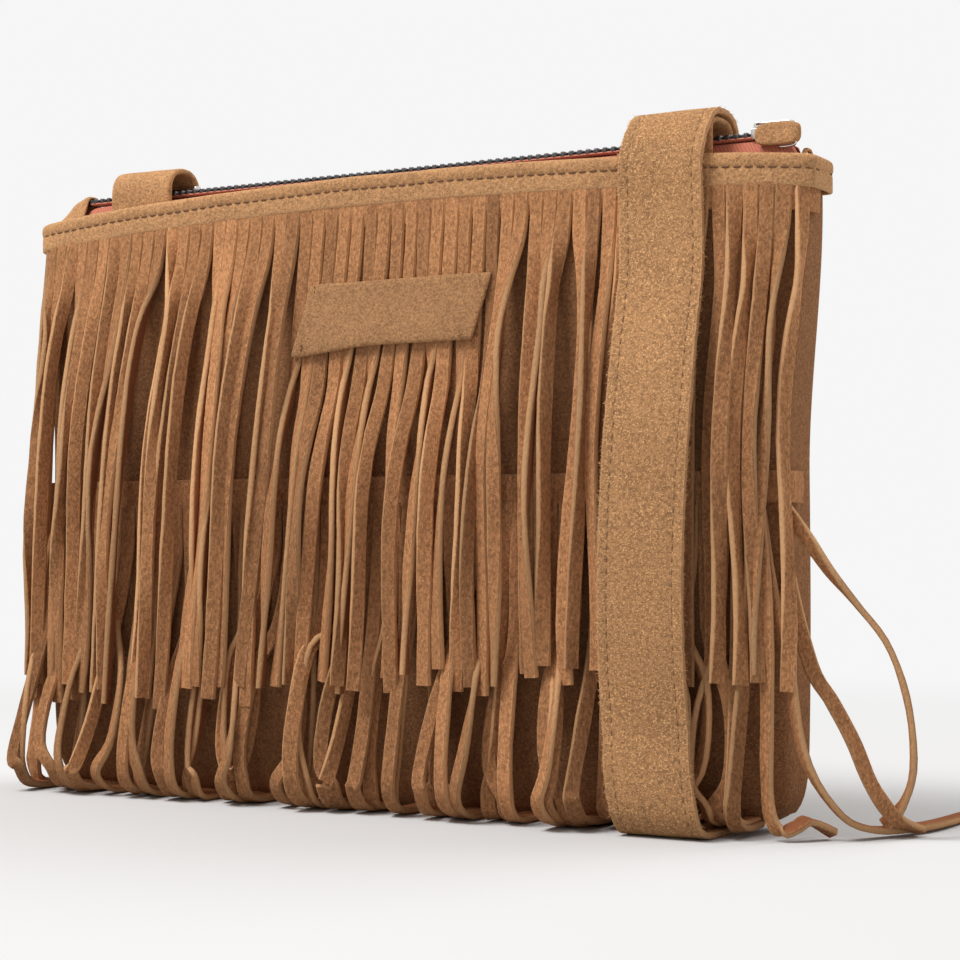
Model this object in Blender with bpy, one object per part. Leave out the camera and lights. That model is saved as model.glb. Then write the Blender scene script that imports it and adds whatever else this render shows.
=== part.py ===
"""Fringed suede bag: a flat zip pouch with two rows of cut fringe on its front and a flat strap.

The bag stands on its sole. X runs along the zip, -Y is the front and +Z is up. The origin is the
middle of the sole, and lengths are in metres.
"""
import math
import random

import bmesh
import bpy
from mathutils import Vector

# Driving dimensions of the pouch
BAG_WIDTH = 0.310
RIM_HEIGHT = 0.209
RIM_CROWN = 0.006
RIM_HALF_DEPTH = 0.0114
BULGE_HALF_DEPTH = 0.020
BULGE_HEIGHT = 0.075
SOLE_HALF_DEPTH = 0.009
WAIST_HALF_WIDTH = 0.146
WAIST_HEIGHT = 0.110
SOLE_HALF_WIDTH = 0.130
CORNER_HEIGHT = 0.026
SECTION_POWER = 6.0
SIDE_ROUNDING = 0.008
SUEDE = 0.0012
SEAM_GAP = 0.0007
FIT_GAP = 0.0003
SOLE_TURN_UP = 0.0030
WALL_STATIONS = (1.0, 0.883, 0.717, 0.528, 0.340, 0.151, 0.0)
BULGE_STATIONS = (0.733, 0.507, 0.333, 0.200, 0.107, 0.040)
BACK_PANEL_FOOT = 0.0048
SOLE_LIFT_FADE = 0.030

# Band along the opening
BAND_HEIGHT = 0.010
BAND_THICKNESS = 0.0012
BAND_ROUND = 0.0006

# Fringes
STRAND_PITCH = 0.0053
SLIT = 0.0006
FRINGE_SUEDE = 0.0011
UPPER_HEADER_COVERED = 0.006
UPPER_HEADER_SHOWN = 0.008
UPPER_HEADER_INSET = 0.0035
UPPER_END_LEFT = 0.036
UPPER_END_RIGHT = 0.047
LOWER_HEADER_TOP = WAIST_HEIGHT + 0.002
LOWER_HEADER_HEIGHT = 0.009
LOWER_HEADER_INSET = 0.003
UPPER_STANDOFF = 0.0070
UPPER_GATHER = 0.065
UPPER_CLUMP = 0.17
LOWER_CLUMP = 0.12
LOWER_STANDOFF = 0.0014
LOWER_BOW = 0.0070
STRAND_ON_FLOOR = 0.0003
STRAND_CUTS = 8
SPILL_TURN = math.radians(70.0)

# Label patch
PATCH_WIDTH = 0.072
PATCH_HEIGHT = 0.0225
PATCH_THICKNESS = 0.0012
PATCH_CENTRE_X = 0.0075
PATCH_CENTRE_Z = RIM_HEIGHT - 0.0415
PATCH_SLANT = 0.006

# Zip
TAPE_THICKNESS = 0.0007
TAPE_TOP = RIM_HEIGHT + 0.0072
TAPE_SHOULDER = RIM_HEIGHT + 0.0006
TAPE_SHOULDER_HALF = 0.0053
TAPE_FOOT = RIM_HEIGHT - 0.0160
TAPE_START_X = -0.1375
TAPE_END_X = 0.1452
TAPE_TAIL_X = 0.1489
TAPE_TAIL_TOP = RIM_HEIGHT + 0.0015
TAPE_TAIL_HALF = 0.0036
TAPE_TAIL_SLOPE = 0.0020
TEETH_TOP = RIM_HEIGHT + 0.0100
TEETH_HEIGHT = 0.0024
TEETH_RAIL = 0.0006
TEETH_DEPTH = 0.0015
TEETH_SPLIT = 0.0014
TOOTH_PITCH = 0.0031
TEETH_END_X = 0.1435
STOP_LENGTH = 0.0013

# Zip slider, its pull and the suede tab on the pull
SLIDER_X = 0.1375
SLIDER_LENGTH = 0.012
SLIDER_PLATE = 0.0009
SLIDER_CHEEK = 0.0006
CROWN_LENGTH = 0.0045
CROWN_WIDTH = 0.0016
CROWN_EYE = 0.0015
CROWN_WALL = 0.0006
PULL_WIRE = 0.0010
PULL_DROP = 0.0081
PULL_REACH = 0.0138
PULL_FRONT = 0.0050
PULL_BACK = 0.0016
PULL_RETURN = 0.0060
PULL_CORNER = 0.0008
PULL_TAB_SUEDE = 0.0009
PULL_TAB_HEIGHT = 0.0062
PULL_TAB_LENGTH = 0.0137
PULL_TAB_FLARE = 0.0012
PULL_TAB_SEAM = 0.0040

# Suede tabs at the ends of the zip
END_TAB_LEFT = (-0.1475, -0.1362)
END_TAB_RIGHT = (0.1485, 0.1500)
END_TAB_SUEDE = 0.0010
END_TAB_FOOT = RIM_HEIGHT - 0.0060

# Loops that carry the rings, and the rings
LOOP_WIDTH = 0.0275
LOOP_HALF_DEPTH = 0.0093
LOOP_SUEDE = 0.0021
LOOP_FOOT = RIM_HEIGHT - 0.0055
LOOP_LEFT_X = -0.107
LOOP_LEFT_TOP = RIM_HEIGHT + 0.0185
LOOP_LEFT_SPRING = RIM_HEIGHT + 0.0095
LOOP_RIGHT_X = 0.107
LOOP_RIGHT_TOP = RIM_HEIGHT + 0.0163
LOOP_RIGHT_CORNER = 0.0055
LOOP_LEFT_ROUND = 2.3
LOOP_RIGHT_ROUND = 2.6
RING_WIRE = 0.0025
RING_WIDTH = 0.038
RING_LENGTH = 0.0250
RING_CORNER = 0.003
RING_PIVOT_Y = 0.0054
RING_LEFT_PIVOT_Z = RIM_HEIGHT + 0.0119
RING_RIGHT_PIVOT_Z = RIM_HEIGHT + 0.0095
RING_TILT = math.radians(-21.0)
RING_LEFT_X = -0.109
RING_RIGHT_X = 0.107

# Shoulder strap
STRAP_WIDTH = 0.029
STRAP_THICKNESS = 0.0021
STRAP_LIFT = 0.0030
STRAP_SIDE_ROOM = 0.005
STRAP_LIFT_RUN = 0.012
STRAP_STANDOFF = 0.0009
STRAP_UNDER_X = 0.114
STRAP_STATION = 0.010
STRAP_FINE_STATION = 0.0045

# Colours from the photograph
SUEDE_TAN = (0.44, 0.25, 0.125, 1.0)
SUEDE_BROWN = (0.30, 0.16, 0.08, 1.0)
ZIP_TERRACOTTA = (0.53, 0.21, 0.13, 1.0)
GUNMETAL = (0.16, 0.15, 0.15, 1.0)
NICKEL = (0.72, 0.70, 0.68, 1.0)

BAND_OUT = FIT_GAP + FRINGE_SUEDE + FIT_GAP + BAND_THICKNESS
RIM_HALF_WIDTH = BAG_WIDTH / 2 - BAND_OUT


def clamp01(value):
    """Keep a share between 0 and 1."""
    return max(0.0, min(1.0, value))


def ease(value):
    """A smooth step from 0 to 1."""
    share = clamp01(value)
    return share * share * (3.0 - 2.0 * share)


def rim_height(x):
    """Height of the band's top edge, which is crowned along the bag."""
    return RIM_HEIGHT + RIM_CROWN * (1.0 - (2.0 * x / BAG_WIDTH) ** 2)


def uncrowned(x, z):
    """The height that a point would have on a bag with a straight rim."""
    rise = rim_height(x) - RIM_HEIGHT
    return z - rise * (z / rim_height(x)) ** 2


def half_width(z):
    """Half the pouch's width, outside, at a height on a bag with a straight rim."""
    if z < CORNER_HEIGHT:
        share = (1.0 - clamp01(1.0 - z / CORNER_HEIGHT) ** 3) ** (1 / 3)
        return SOLE_HALF_WIDTH + (WAIST_HALF_WIDTH - SOLE_HALF_WIDTH) * share
    climb = (z - WAIST_HEIGHT) / (RIM_HEIGHT - BAND_HEIGHT - WAIST_HEIGHT)
    return WAIST_HALF_WIDTH + (RIM_HALF_WIDTH - WAIST_HALF_WIDTH) * ease(climb)


def half_depth(z):
    """Half the pouch's depth, outside, at its middle."""
    if z < BULGE_HEIGHT:
        share = math.sqrt(1.0 - (1.0 - z / BULGE_HEIGHT) ** 2)
        return SOLE_HALF_DEPTH + (BULGE_HALF_DEPTH - SOLE_HALF_DEPTH) * share
    climb = clamp01((RIM_HEIGHT - z) / (RIM_HEIGHT - BULGE_HEIGHT))
    return RIM_HALF_DEPTH + (BULGE_HALF_DEPTH - RIM_HALF_DEPTH) * math.sin(climb * math.pi / 2)


def section_share(s):
    """How full the section is at a share s of its half width."""
    return (1.0 - min(1.0, abs(s)) ** SECTION_POWER) ** (1.0 / SECTION_POWER)


def wall_depth(x, z):
    """Distance from the middle plane to the pouch's outer face."""
    level = uncrowned(x, z)
    share = section_share(x / half_width(level))
    return SEAM_GAP / 2 + (half_depth(level) - SEAM_GAP / 2) * share


def hang_depth(x, z):
    """Where a strand hangs: on the wall, straight down below the fullest height and past the side."""
    height = max(z, BULGE_HEIGHT)
    side = half_width(uncrowned(x, height)) - SIDE_ROUNDING
    return wall_depth(max(-side, min(side, x)), height)


def strap_lift(x):
    """How much the sole is lifted where the strap passes under it."""
    reach = abs(x - STRAP_UNDER_X) - STRAP_WIDTH / 2 - STRAP_SIDE_ROOM
    return STRAP_LIFT * (1.0 - ease(reach / STRAP_LIFT_RUN))


def material(name, colour, roughness, metallic=0.0):
    """A plain material, made once."""
    made = bpy.data.materials.get(name)
    if made is None:
        made = bpy.data.materials.new(name)
        made.use_nodes = True
        shader = made.node_tree.nodes["Principled BSDF"]
        shader.inputs["Base Color"].default_value = colour
        shader.inputs["Roughness"].default_value = roughness
        shader.inputs["Metallic"].default_value = metallic
    return made


def add_object(name, data, finish, origin=None):
    """Put a mesh or curve in the bag's collection, with its origin where its joint's axis is."""
    obj = bpy.data.objects.new(name, data)
    bpy.data.collections["fringed_suede_bag"].objects.link(obj)
    data.materials.append(finish)
    if origin is not None:
        place = Vector(origin)
        if isinstance(data, bpy.types.Mesh):
            for vertex in data.vertices:
                vertex.co -= place
        obj.location = place
    return obj


def mesh_from(bm, name):
    """Turn a bmesh into a smooth-shaded mesh with sharp edges where it folds."""
    bmesh.ops.recalc_face_normals(bm, faces=bm.faces)
    mesh = bpy.data.meshes.new(name)
    bm.to_mesh(mesh)
    bm.free()
    mesh.shade_smooth()
    mesh.set_sharp_from_angle(angle=math.radians(40))
    return mesh


def loft(name, sections, thin=False):
    """A closed body through sections, which are loops of points. A thin one has paired walls."""
    bm = bmesh.new()
    loops = [[bm.verts.new(p) for p in section] for section in sections]
    count = len(sections[0])
    for a, b in zip(loops, loops[1:]):
        for k in range(count):
            bm.faces.new((a[k], a[(k + 1) % count], b[(k + 1) % count], b[k]))
    for end in (loops[0], loops[-1]):
        if thin:
            for k in range(count // 2 - 1):
                bm.faces.new((end[k], end[k + 1], end[count - 2 - k], end[count - 1 - k]))
        else:
            bm.faces.new(end)
    return mesh_from(bm, name)


def thicken(line, thickness):
    """Both walls of a bent strip, from its middle line in a plane, as one loop of pairs."""
    points = [Vector(p) for p in line]
    left = []
    right = []
    for k, point in enumerate(points):
        back = (point - points[max(k - 1, 0)]).normalized()
        ahead = (points[min(k + 1, len(points) - 1)] - point).normalized()
        along = (back + ahead).normalized()
        side = Vector((-along.y, along.x))
        turn = max(0.5, side.dot(Vector((-ahead.y, ahead.x))) if ahead.length else 1.0)
        left.append(point + side * (thickness / 2 / turn))
        right.append(point - side * (thickness / 2 / turn))
    return left + right[::-1]


def columns():
    """Shares of the section's angle from the left seam, round the front, to the right seam."""
    half = [0, 4, 11, 20, 32, 46, 60, 72, 81, 86.5]
    return half + [90] + [180 - a for a in half[::-1]]


def section_point(angle, width, depth):
    """A point of the pouch's rounded section, in the front half."""
    power = 2.0 / SECTION_POWER
    turn = math.radians(angle)
    across = math.copysign(abs(math.cos(turn)) ** power, math.cos(turn))
    share = abs(math.sin(turn)) ** power if 0 < angle < 180 else 0.0
    return -width * across, SEAM_GAP / 2 + (depth - SEAM_GAP / 2) * share


def crowned(x, z):
    """The real height of a point that is given on a bag with a straight rim."""
    return z + (rim_height(x) - RIM_HEIGHT) * (z / RIM_HEIGHT) ** 2


def wall_stations():
    """Heights of the front wall's stations, from the panel's top edge down to the sole."""
    top = RIM_HEIGHT - BAND_THICKNESS - FIT_GAP
    wall = [BULGE_HEIGHT + (top - BULGE_HEIGHT) * share for share in WALL_STATIONS]
    return wall + [BULGE_HEIGHT * share for share in BULGE_STATIONS]


def panel_profile(side, heights, sole):
    """Outer stations of a panel as (depth, height) and their inward direction."""
    line = [(side * half_depth(z), z) for z in heights]
    line += [(side * share * SOLE_HALF_DEPTH, 0.0) for share in sole]
    stations = []
    for k, (y, z) in enumerate(line):
        before = line[max(k - 1, 0)]
        after = line[min(k + 1, len(line) - 1)]
        along = Vector((after[0] - before[0], after[1] - before[1])).normalized()
        stations.append((y, z, Vector((-along.y, along.x)) * -side))
    return stations


def panel_section(angle, stations, side):
    """One cross-section of a panel: its outer stations down and its inner ones back up."""
    loops = []
    for inset in (0.0, SUEDE):
        points = []
        for y, z, inward in stations:
            depth = abs(y + inward.x * inset) * (1 if y * side >= 0 else -1)
            x, offset = section_point(angle, half_width(z) - inset, abs(depth))
            level = z + inward.y * inset
            lift = strap_lift(x) * (1.0 - ease(level / SOLE_LIFT_FADE))
            sign = side if depth >= 0 else -side
            points.append((x, sign * offset, crowned(x, level) + lift))
        loops.append(points)
    return loops[0] + loops[1][::-1]


def build_panels(suede):
    """The front panel, which turns under as the sole, and the back panel above its edge."""
    heights = wall_stations()
    sole = [1.0, 0.45, 0.0, -0.45, -1.0]
    front = panel_profile(-1, heights, sole)
    turned_up = [(half_depth(z), z) for z in (SOLE_TURN_UP * 0.4, SOLE_TURN_UP)]
    front = front + [(y, z, Vector((-0.75, 0.66))) for y, z in turned_up]
    sections = [panel_section(a, front, -1) for a in columns()]
    add_object("front_panel", loft("front_panel", sections, thin=True), suede)
    back = panel_profile(1, heights[:-1] + [BACK_PANEL_FOOT], [])
    sections = [panel_section(a, back, 1) for a in columns()]
    add_object("back_panel", loft("back_panel", sections, thin=True), suede)


def build_band(name, side, suede):
    """The stitched strip over the rim: a leg outside the panel and a lip over its edge."""
    inner = FIT_GAP + FRINGE_SUEDE + FIT_GAP
    outline = [
        (BAND_OUT, -BAND_HEIGHT),
        (BAND_OUT, -BAND_ROUND),
        (BAND_OUT - BAND_ROUND, 0.0),
        (FIT_GAP - SUEDE, 0.0),
        (FIT_GAP - SUEDE, -BAND_THICKNESS),
        (inner, -BAND_THICKNESS),
        (inner, -BAND_HEIGHT),
    ]
    sections = []
    for angle in columns():
        points = []
        for out, drop in outline:
            level = RIM_HEIGHT + drop
            x, offset = section_point(angle, half_width(level) + out, half_depth(level) + out)
            points.append((x, side * offset, rim_height(x) + drop))
        sections.append(points)
    add_object(name, loft(name, sections), suede)


def clump_layout(count, seed):
    """Group neighbouring strands into clumps: for each strand, its clump's middle and size."""
    draw = random.Random(seed)
    layout = []
    while len(layout) < count:
        size = min(draw.choice((2, 3, 3, 4, 5)), count - len(layout))
        first = len(layout)
        layout += [(first + (size - 1) / 2, size)] * size
    return layout


def strand_turn(spacing):
    """The turn at which a strand fits beside its neighbours, so that they never meet."""
    width = STRAND_PITCH - SLIT
    turn = 0.0
    while width * math.cos(turn) + FRINGE_SUEDE * math.sin(turn) > spacing - SLIT * 0.6:
        turn += math.radians(2.0)
    return turn


def strand_section(centre, along, turn):
    """Four corners of a strand's cut, for a strand that is turned about its own length."""
    width = STRAND_PITCH - SLIT
    across = Vector((1, 0, 0))
    across = (across - along * across.dot(along)).normalized()
    front = across.cross(along).normalized()
    wide = across * math.cos(turn) + front * math.sin(turn)
    thick = wide.cross(along).normalized()
    half_w = wide * (width / 2)
    half_t = thick * (FRINGE_SUEDE / 2)
    return [centre - half_w + half_t, centre + half_w + half_t,
            centre + half_w - half_t, centre - half_w - half_t]


def build_fringe(name, header_half_width, top_of, bottom_of, strands, suede):
    """One cut strip: a header along the pouch and the strands that are slit out of it."""
    count = len(strands)
    width = STRAND_PITCH - SLIT
    bm = bmesh.new()
    loops = []
    for middle in strand_roots(header_half_width, count):
        for x in (middle - width / 2, middle + width / 2):
            points = []
            for z, out in ((top_of(x), FRINGE_SUEDE), (bottom_of(x), FRINGE_SUEDE),
                           (bottom_of(x), 0.0), (top_of(x), 0.0)):
                points.append((x, -(wall_depth(x, z) + FIT_GAP + out), z))
            loops.append([bm.verts.new(p) for p in points])
    roots = []
    for k, (a, b) in enumerate(zip(loops, loops[1:])):
        bm.faces.new((a[0], a[1], b[1], b[0]))
        bm.faces.new((a[2], a[3], b[3], b[2]))
        bm.faces.new((a[3], a[0], b[0], b[3]))
        foot = bm.faces.new((a[1], b[1], b[2], a[2]))
        if k % 2 == 0:
            roots.append(foot)
    bm.faces.new(loops[0])
    bm.faces.new(loops[-1])
    for foot, sections in zip(roots, strands):
        for corners in sections:
            foot = bmesh.ops.extrude_discrete_faces(bm, faces=[foot])["faces"][0]
            for vertex, corner in zip(foot.verts, corners):
                vertex.co = corner
    add_object(name, mesh_from(bm, name), suede)


def strand_roots(header_half_width, count):
    """Middles of the strands along a header."""
    width = STRAND_PITCH - SLIT
    span = 2 * header_half_width - width
    return [-span / 2 + span * i / (count - 1) for i in range(count)]


def set_down(corners):
    """Lift a cut that would lie below the floor."""
    lowest = min(corner.z for corner in corners)
    rise = Vector((0, 0, max(0.0, STRAND_ON_FLOOR - lowest)))
    return [corner + rise for corner in corners]


def strand_sections(path, turns):
    """Cuts along a strand from its path and its turn at each point."""
    points = [Vector(p) for p in path]
    cuts = []
    for k in range(1, len(points)):
        ahead = points[min(k + 1, len(points) - 1)]
        along = (points[k - 1] - ahead).normalized()
        cuts.append(set_down(strand_section(points[k], along, turns[k])))
    return cuts


def upper_end(x):
    """Height of the upper fringe's cut ends, which rises to the right."""
    return UPPER_END_LEFT + (UPPER_END_RIGHT - UPPER_END_LEFT) * ease(0.5 + x / BAG_WIDTH * 1.6)


def upper_header_bottom(x):
    """Where the upper fringe's slits start."""
    return rim_height(x) - BAND_HEIGHT - UPPER_HEADER_SHOWN


def sway(x):
    """How far the strands lean to the left at their ends."""
    return -0.009 * ease((0.070 - x) / 0.120)


def upper_lie(start, z):
    """How far a strand has gathered and how far it stands off at a height, each from 0 to 1."""
    return ease((start - z) / UPPER_GATHER), ease((start - z) / (start - LOWER_HEADER_TOP))


def under_strap(x):
    """Whether the strap covers a strand on the front."""
    return 0.088 < x < 0.132


def upper_strands(half, count):
    """The upper fringe's strands, which clump and turn as they hang."""
    draw = random.Random(7)
    layout = clump_layout(count, 11)
    roots = strand_roots(half, count)
    pitch = roots[1] - roots[0]
    patch_low = PATCH_CENTRE_Z - PATCH_HEIGHT / 2
    strands = []
    for i, x0 in enumerate(roots):
        middle, _ = layout[i]
        pull = UPPER_CLUMP * (middle - i) * pitch
        proud = 0.0 if under_strap(x0) else draw.uniform(0.0, 0.0022)
        top = upper_header_bottom(x0)
        end = upper_end(x0) + draw.uniform(-0.003, 0.003)
        held = abs(x0 - PATCH_CENTRE_X) < PATCH_WIDTH / 2 + 2 * STRAND_PITCH
        start = patch_low - 0.004 if held else top
        path = []
        turns = []
        for k in range(STRAND_CUTS):
            share = k / (STRAND_CUTS - 1)
            z = top + (end - top) * share
            gather, reach = upper_lie(start, z)
            turn = strand_turn(pitch * (1.0 - UPPER_CLUMP * gather))
            lean = ((top - z) / (top - end)) ** 1.4
            x = x0 + pull * gather + sway(x0) * lean
            out = FIT_GAP + UPPER_STANDOFF * reach + proud * reach + FRINGE_SUEDE / 2
            out += math.sin(turn) * (STRAND_PITCH - SLIT) / 2
            path.append((x, -(hang_depth(x, z) + out), z))
            turns.append(turn)
        strands.append(strand_sections(path, turns))
    return strands


def floor_level(x):
    """Height of a strand's middle where it lies: on the floor, or on the strap."""
    return STRAND_ON_FLOOR + FRINGE_SUEDE / 2 + strap_lift(x)


def tucked_path(x, x_end, bow):
    """A lower strand that bows forward and curls back under the pouch."""
    half = FRINGE_SUEDE / 2
    wall = hang_depth(x, BULGE_HEIGHT)
    bend = upper_end(x) - 0.004
    floor = floor_level(x_end)
    rows = [
        (0.0, LOWER_HEADER_TOP - LOWER_HEADER_HEIGHT, wall_depth(x, LOWER_HEADER_TOP) + FIT_GAP),
        (0.3, 0.075, wall + LOWER_STANDOFF),
        (0.6, bend, wall + LOWER_STANDOFF),
        (0.8, 0.022, wall + LOWER_STANDOFF + bow),
        (0.9, 0.011, wall + LOWER_STANDOFF + bow * 1.05),
        (1.0, floor + 0.0022, wall + bow * 0.70),
        (1.0, floor, wall - 0.004),
        (1.0, floor, wall - 0.0065),
    ]
    return [(x + (x_end - x) * share, -(out + half), z) for share, z, out in rows]


def side_paths():
    """Two strands at the right end that spill over the side, as the photograph shows."""
    spill_wide = [
        (0.1440, -0.0125, 0.103), (0.1530, -0.0135, 0.092), (0.1600, -0.0110, 0.081),
        (0.1665, -0.0060, 0.071), (0.1750, -0.0020, 0.0585), (0.1800, 0.0, 0.041),
        (0.1810, 0.001, 0.022), (0.1770, 0.002, 0.0105), (0.1720, 0.003, 0.0050),
    ]
    spill_floor = [
        (0.1387, -0.0165, 0.103), (0.1440, -0.0185, 0.075), (0.1490, -0.0185, 0.055),
        (0.1540, -0.0180, 0.026), (0.1625, -0.0120, 0.0090), (0.1680, -0.0020, 0.0012),
        (0.1760, 0.0130, 0.0009), (0.1800, 0.0260, 0.0009), (0.1815, 0.0420, 0.0009),
        (0.1810, 0.0580, 0.0009),
    ]
    return spill_floor, spill_wide


def lower_strands(half, count):
    """The lower fringe's strands, which reach the floor."""
    draw = random.Random(21)
    layout = clump_layout(count, 5)
    roots = strand_roots(half, count)
    pitch = roots[1] - roots[0]
    strands = []
    for i, x0 in enumerate(roots[:-2]):
        middle, _ = layout[i]
        x_end = x0 + LOWER_CLUMP * (middle - i) * pitch + sway(x0) * 0.5
        bow = LOWER_BOW * 0.5 if under_strap(x0) else draw.uniform(0.45, 1.25) * LOWER_BOW
        path = tucked_path(x0, x_end, bow)
        turn = strand_turn(pitch * (1.0 - LOWER_CLUMP))
        turns = [turn * ease(k / 2.5) if k < 5 else 0.0 for k in range(len(path))]
        strands.append(strand_sections(path, turns))
    for path in side_paths():
        turns = [SPILL_TURN * ease(k / 4) * ease(p[2] / 0.012) for k, p in enumerate(path)]
        strands.append(strand_sections(path, turns))
    return strands


def build_fringes(suede):
    """Both rows of fringe."""
    half = RIM_HALF_WIDTH - UPPER_HEADER_INSET
    count = int((2 * half + SLIT) / STRAND_PITCH)
    build_fringe("upper_fringe", half, lambda x: rim_height(x) - BAND_HEIGHT + UPPER_HEADER_COVERED,
                 upper_header_bottom, upper_strands(half, count), suede)
    half = WAIST_HALF_WIDTH - LOWER_HEADER_INSET
    count = int((2 * half + SLIT) / STRAND_PITCH)
    build_fringe("lower_fringe", half, lambda x: LOWER_HEADER_TOP,
                 lambda x: LOWER_HEADER_TOP - LOWER_HEADER_HEIGHT, lower_strands(half, count), suede)


def build_patch(suede):
    """The bare label patch, which lies on the upper fringe and leans with it."""
    sections = []
    out = FIT_GAP + FRINGE_SUEDE + FIT_GAP
    for share in (-0.5, -0.3, -0.1, 0.1, 0.3, 0.5):
        front = []
        back = []
        for rise in (-0.5, 0.0, 0.5):
            x = PATCH_CENTRE_X + PATCH_WIDTH * share + PATCH_SLANT * rise
            z = PATCH_CENTRE_Z + PATCH_HEIGHT * rise
            lie = wall_depth(x, z) + out
            front.append((x, -(lie + PATCH_THICKNESS), z))
            back.append((x, -lie, z))
        sections.append(front + back[::-1])
    add_object("label_patch", loft("label_patch", sections, thin=True), suede)


def inner_depth(x, z):
    """Distance from the middle plane to the pouch's inner face."""
    return wall_depth(x, z) - SUEDE


def build_tape(name, side, cloth):
    """One half of the zip's tape: it slopes down from the teeth and is sewn to the panel."""
    half = TAPE_THICKNESS / 2
    ridge = TEETH_SPLIT / 2 + TEETH_DEPTH / 2
    sections = []
    full = [(x, TAPE_TOP, TAPE_SHOULDER_HALF) for x in (TAPE_START_X, -0.09, 0.0, 0.09, TAPE_END_X)]
    tail = [(x, TAPE_TAIL_TOP, TAPE_TAIL_HALF) for x in (TAPE_END_X + 0.001, TAPE_TAIL_X)]
    for x, top, shoulder in full + tail:
        seat = inner_depth(x, TAPE_FOOT) - 2 * FIT_GAP - half
        line = [
            (ridge, top),
            (shoulder, min(TAPE_SHOULDER, top - TAPE_TAIL_SLOPE)),
            (shoulder + 0.0002, END_TAB_FOOT - 0.001),
            (max(seat - 0.0006, shoulder + 0.0003), TAPE_FOOT + 0.005),
            (seat, TAPE_FOOT),
        ]
        sections.append([(x, side * p.x, p.y) for p in thicken(line, TAPE_THICKNESS)])
    add_object(name, loft(name, sections, thin=True), cloth)


def build_teeth(name, side, metal):
    """One row of teeth on its cord, as a flat comb."""
    first = TAPE_START_X + STOP_LENGTH + FIT_GAP
    if side > 0:
        first_tooth = first + TOOTH_PITCH * 0.75
    else:
        first_tooth = first + TOOTH_PITCH * 0.25
    foot = TEETH_TOP - TEETH_HEIGHT
    outline = [(first, foot + TEETH_RAIL)]
    x = first_tooth
    while x + TOOTH_PITCH * 0.5 < TEETH_END_X:
        outline += [(x, foot + TEETH_RAIL), (x + TOOTH_PITCH * 0.10, TEETH_TOP),
                    (x + TOOTH_PITCH * 0.45, TEETH_TOP), (x + TOOTH_PITCH * 0.55, foot + TEETH_RAIL)]
        x += TOOTH_PITCH
    outline += [(TEETH_END_X, foot + TEETH_RAIL), (TEETH_END_X, foot), (first, foot)]
    bm = bmesh.new()
    near = side * TEETH_SPLIT / 2
    face = bm.faces.new([bm.verts.new((px, near, pz)) for px, pz in outline])
    grown = bmesh.ops.extrude_face_region(bm, geom=[face])
    moved = [v for v in grown["geom"] if isinstance(v, bmesh.types.BMVert)]
    bmesh.ops.translate(bm, verts=moved, vec=(0, side * TEETH_DEPTH, 0))
    add_object(name, mesh_from(bm, name), metal)


def box(bm, low, high):
    """An upright box between two corners, in a bmesh."""
    made = bmesh.ops.create_cube(bm, size=1.0)["verts"]
    size = [b - a for a, b in zip(low, high)]
    middle = [(a + b) / 2 for a, b in zip(low, high)]
    bmesh.ops.scale(bm, verts=made, vec=size)
    bmesh.ops.translate(bm, verts=made, vec=middle)
    return made


def build_stops(metal):
    """The zip's stops: one clamp over both rows at the left, and one on each tape at the right."""
    foot = TEETH_TOP - TEETH_HEIGHT
    reach = TEETH_SPLIT / 2 + TEETH_DEPTH
    spans = {
        "zip_stop_left": ((TAPE_START_X, -reach, foot), (TAPE_START_X + STOP_LENGTH, reach, TEETH_TOP)),
        "zip_stop_front": ((TEETH_END_X + FIT_GAP, -reach, foot),
                           (TEETH_END_X + FIT_GAP + STOP_LENGTH, -TEETH_SPLIT / 2, TEETH_TOP)),
        "zip_stop_back": ((TEETH_END_X + FIT_GAP, TEETH_SPLIT / 2, foot),
                          (TEETH_END_X + FIT_GAP + STOP_LENGTH, reach, TEETH_TOP)),
    }
    for name, (low, high) in spans.items():
        bm = bmesh.new()
        box(bm, low, high)
        bmesh.ops.bevel(bm, geom=bm.edges[:], offset=0.0002, segments=1, affect="EDGES", profile=0.5)
        add_object(name, mesh_from(bm, name), metal)


def slider_outline():
    """The slider's section: a plate over the teeth, two cheeks and the blade between the rows."""
    reach = TEETH_SPLIT / 2 + TEETH_DEPTH + FIT_GAP
    under = TEETH_TOP + FIT_GAP
    over = under + SLIDER_PLATE
    cheek_foot = TEETH_TOP - TEETH_HEIGHT
    blade = TEETH_SPLIT / 2 - FIT_GAP
    blade_foot = TEETH_TOP - TEETH_HEIGHT * 0.8
    half = [(blade, blade_foot), (blade, under), (reach, under), (reach, cheek_foot),
            (reach + SLIDER_CHEEK, cheek_foot), (reach + SLIDER_CHEEK, over - 0.0003),
            (reach + SLIDER_CHEEK - 0.0003, over)]
    return half + [(-y, z) for y, z in half[::-1]]


def crown_outline():
    """The slider's crown seen from the front: an arch that leaves an eye for the pull."""
    half = CROWN_LENGTH / 2
    sunk = 0.0002
    outer = [(-half, -sunk), (-half, CROWN_EYE), (-half + CROWN_WALL, CROWN_EYE + CROWN_WALL),
             (half - CROWN_WALL, CROWN_EYE + CROWN_WALL), (half, CROWN_EYE), (half, -sunk)]
    inner = [(half - CROWN_WALL, -sunk), (half - CROWN_WALL, CROWN_EYE - sunk),
             (-half + CROWN_WALL, CROWN_EYE - sunk), (-half + CROWN_WALL, -sunk)]
    return outer + inner


def slider_top():
    """Height of the slider's plate."""
    return TEETH_TOP + FIT_GAP + SLIDER_PLATE


def pull_pivot():
    """Where the pull's bar goes through the slider's crown."""
    return (SLIDER_X - SLIDER_LENGTH / 2 + CROWN_LENGTH / 2, 0.0, slider_top() + CROWN_EYE / 2)


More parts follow.
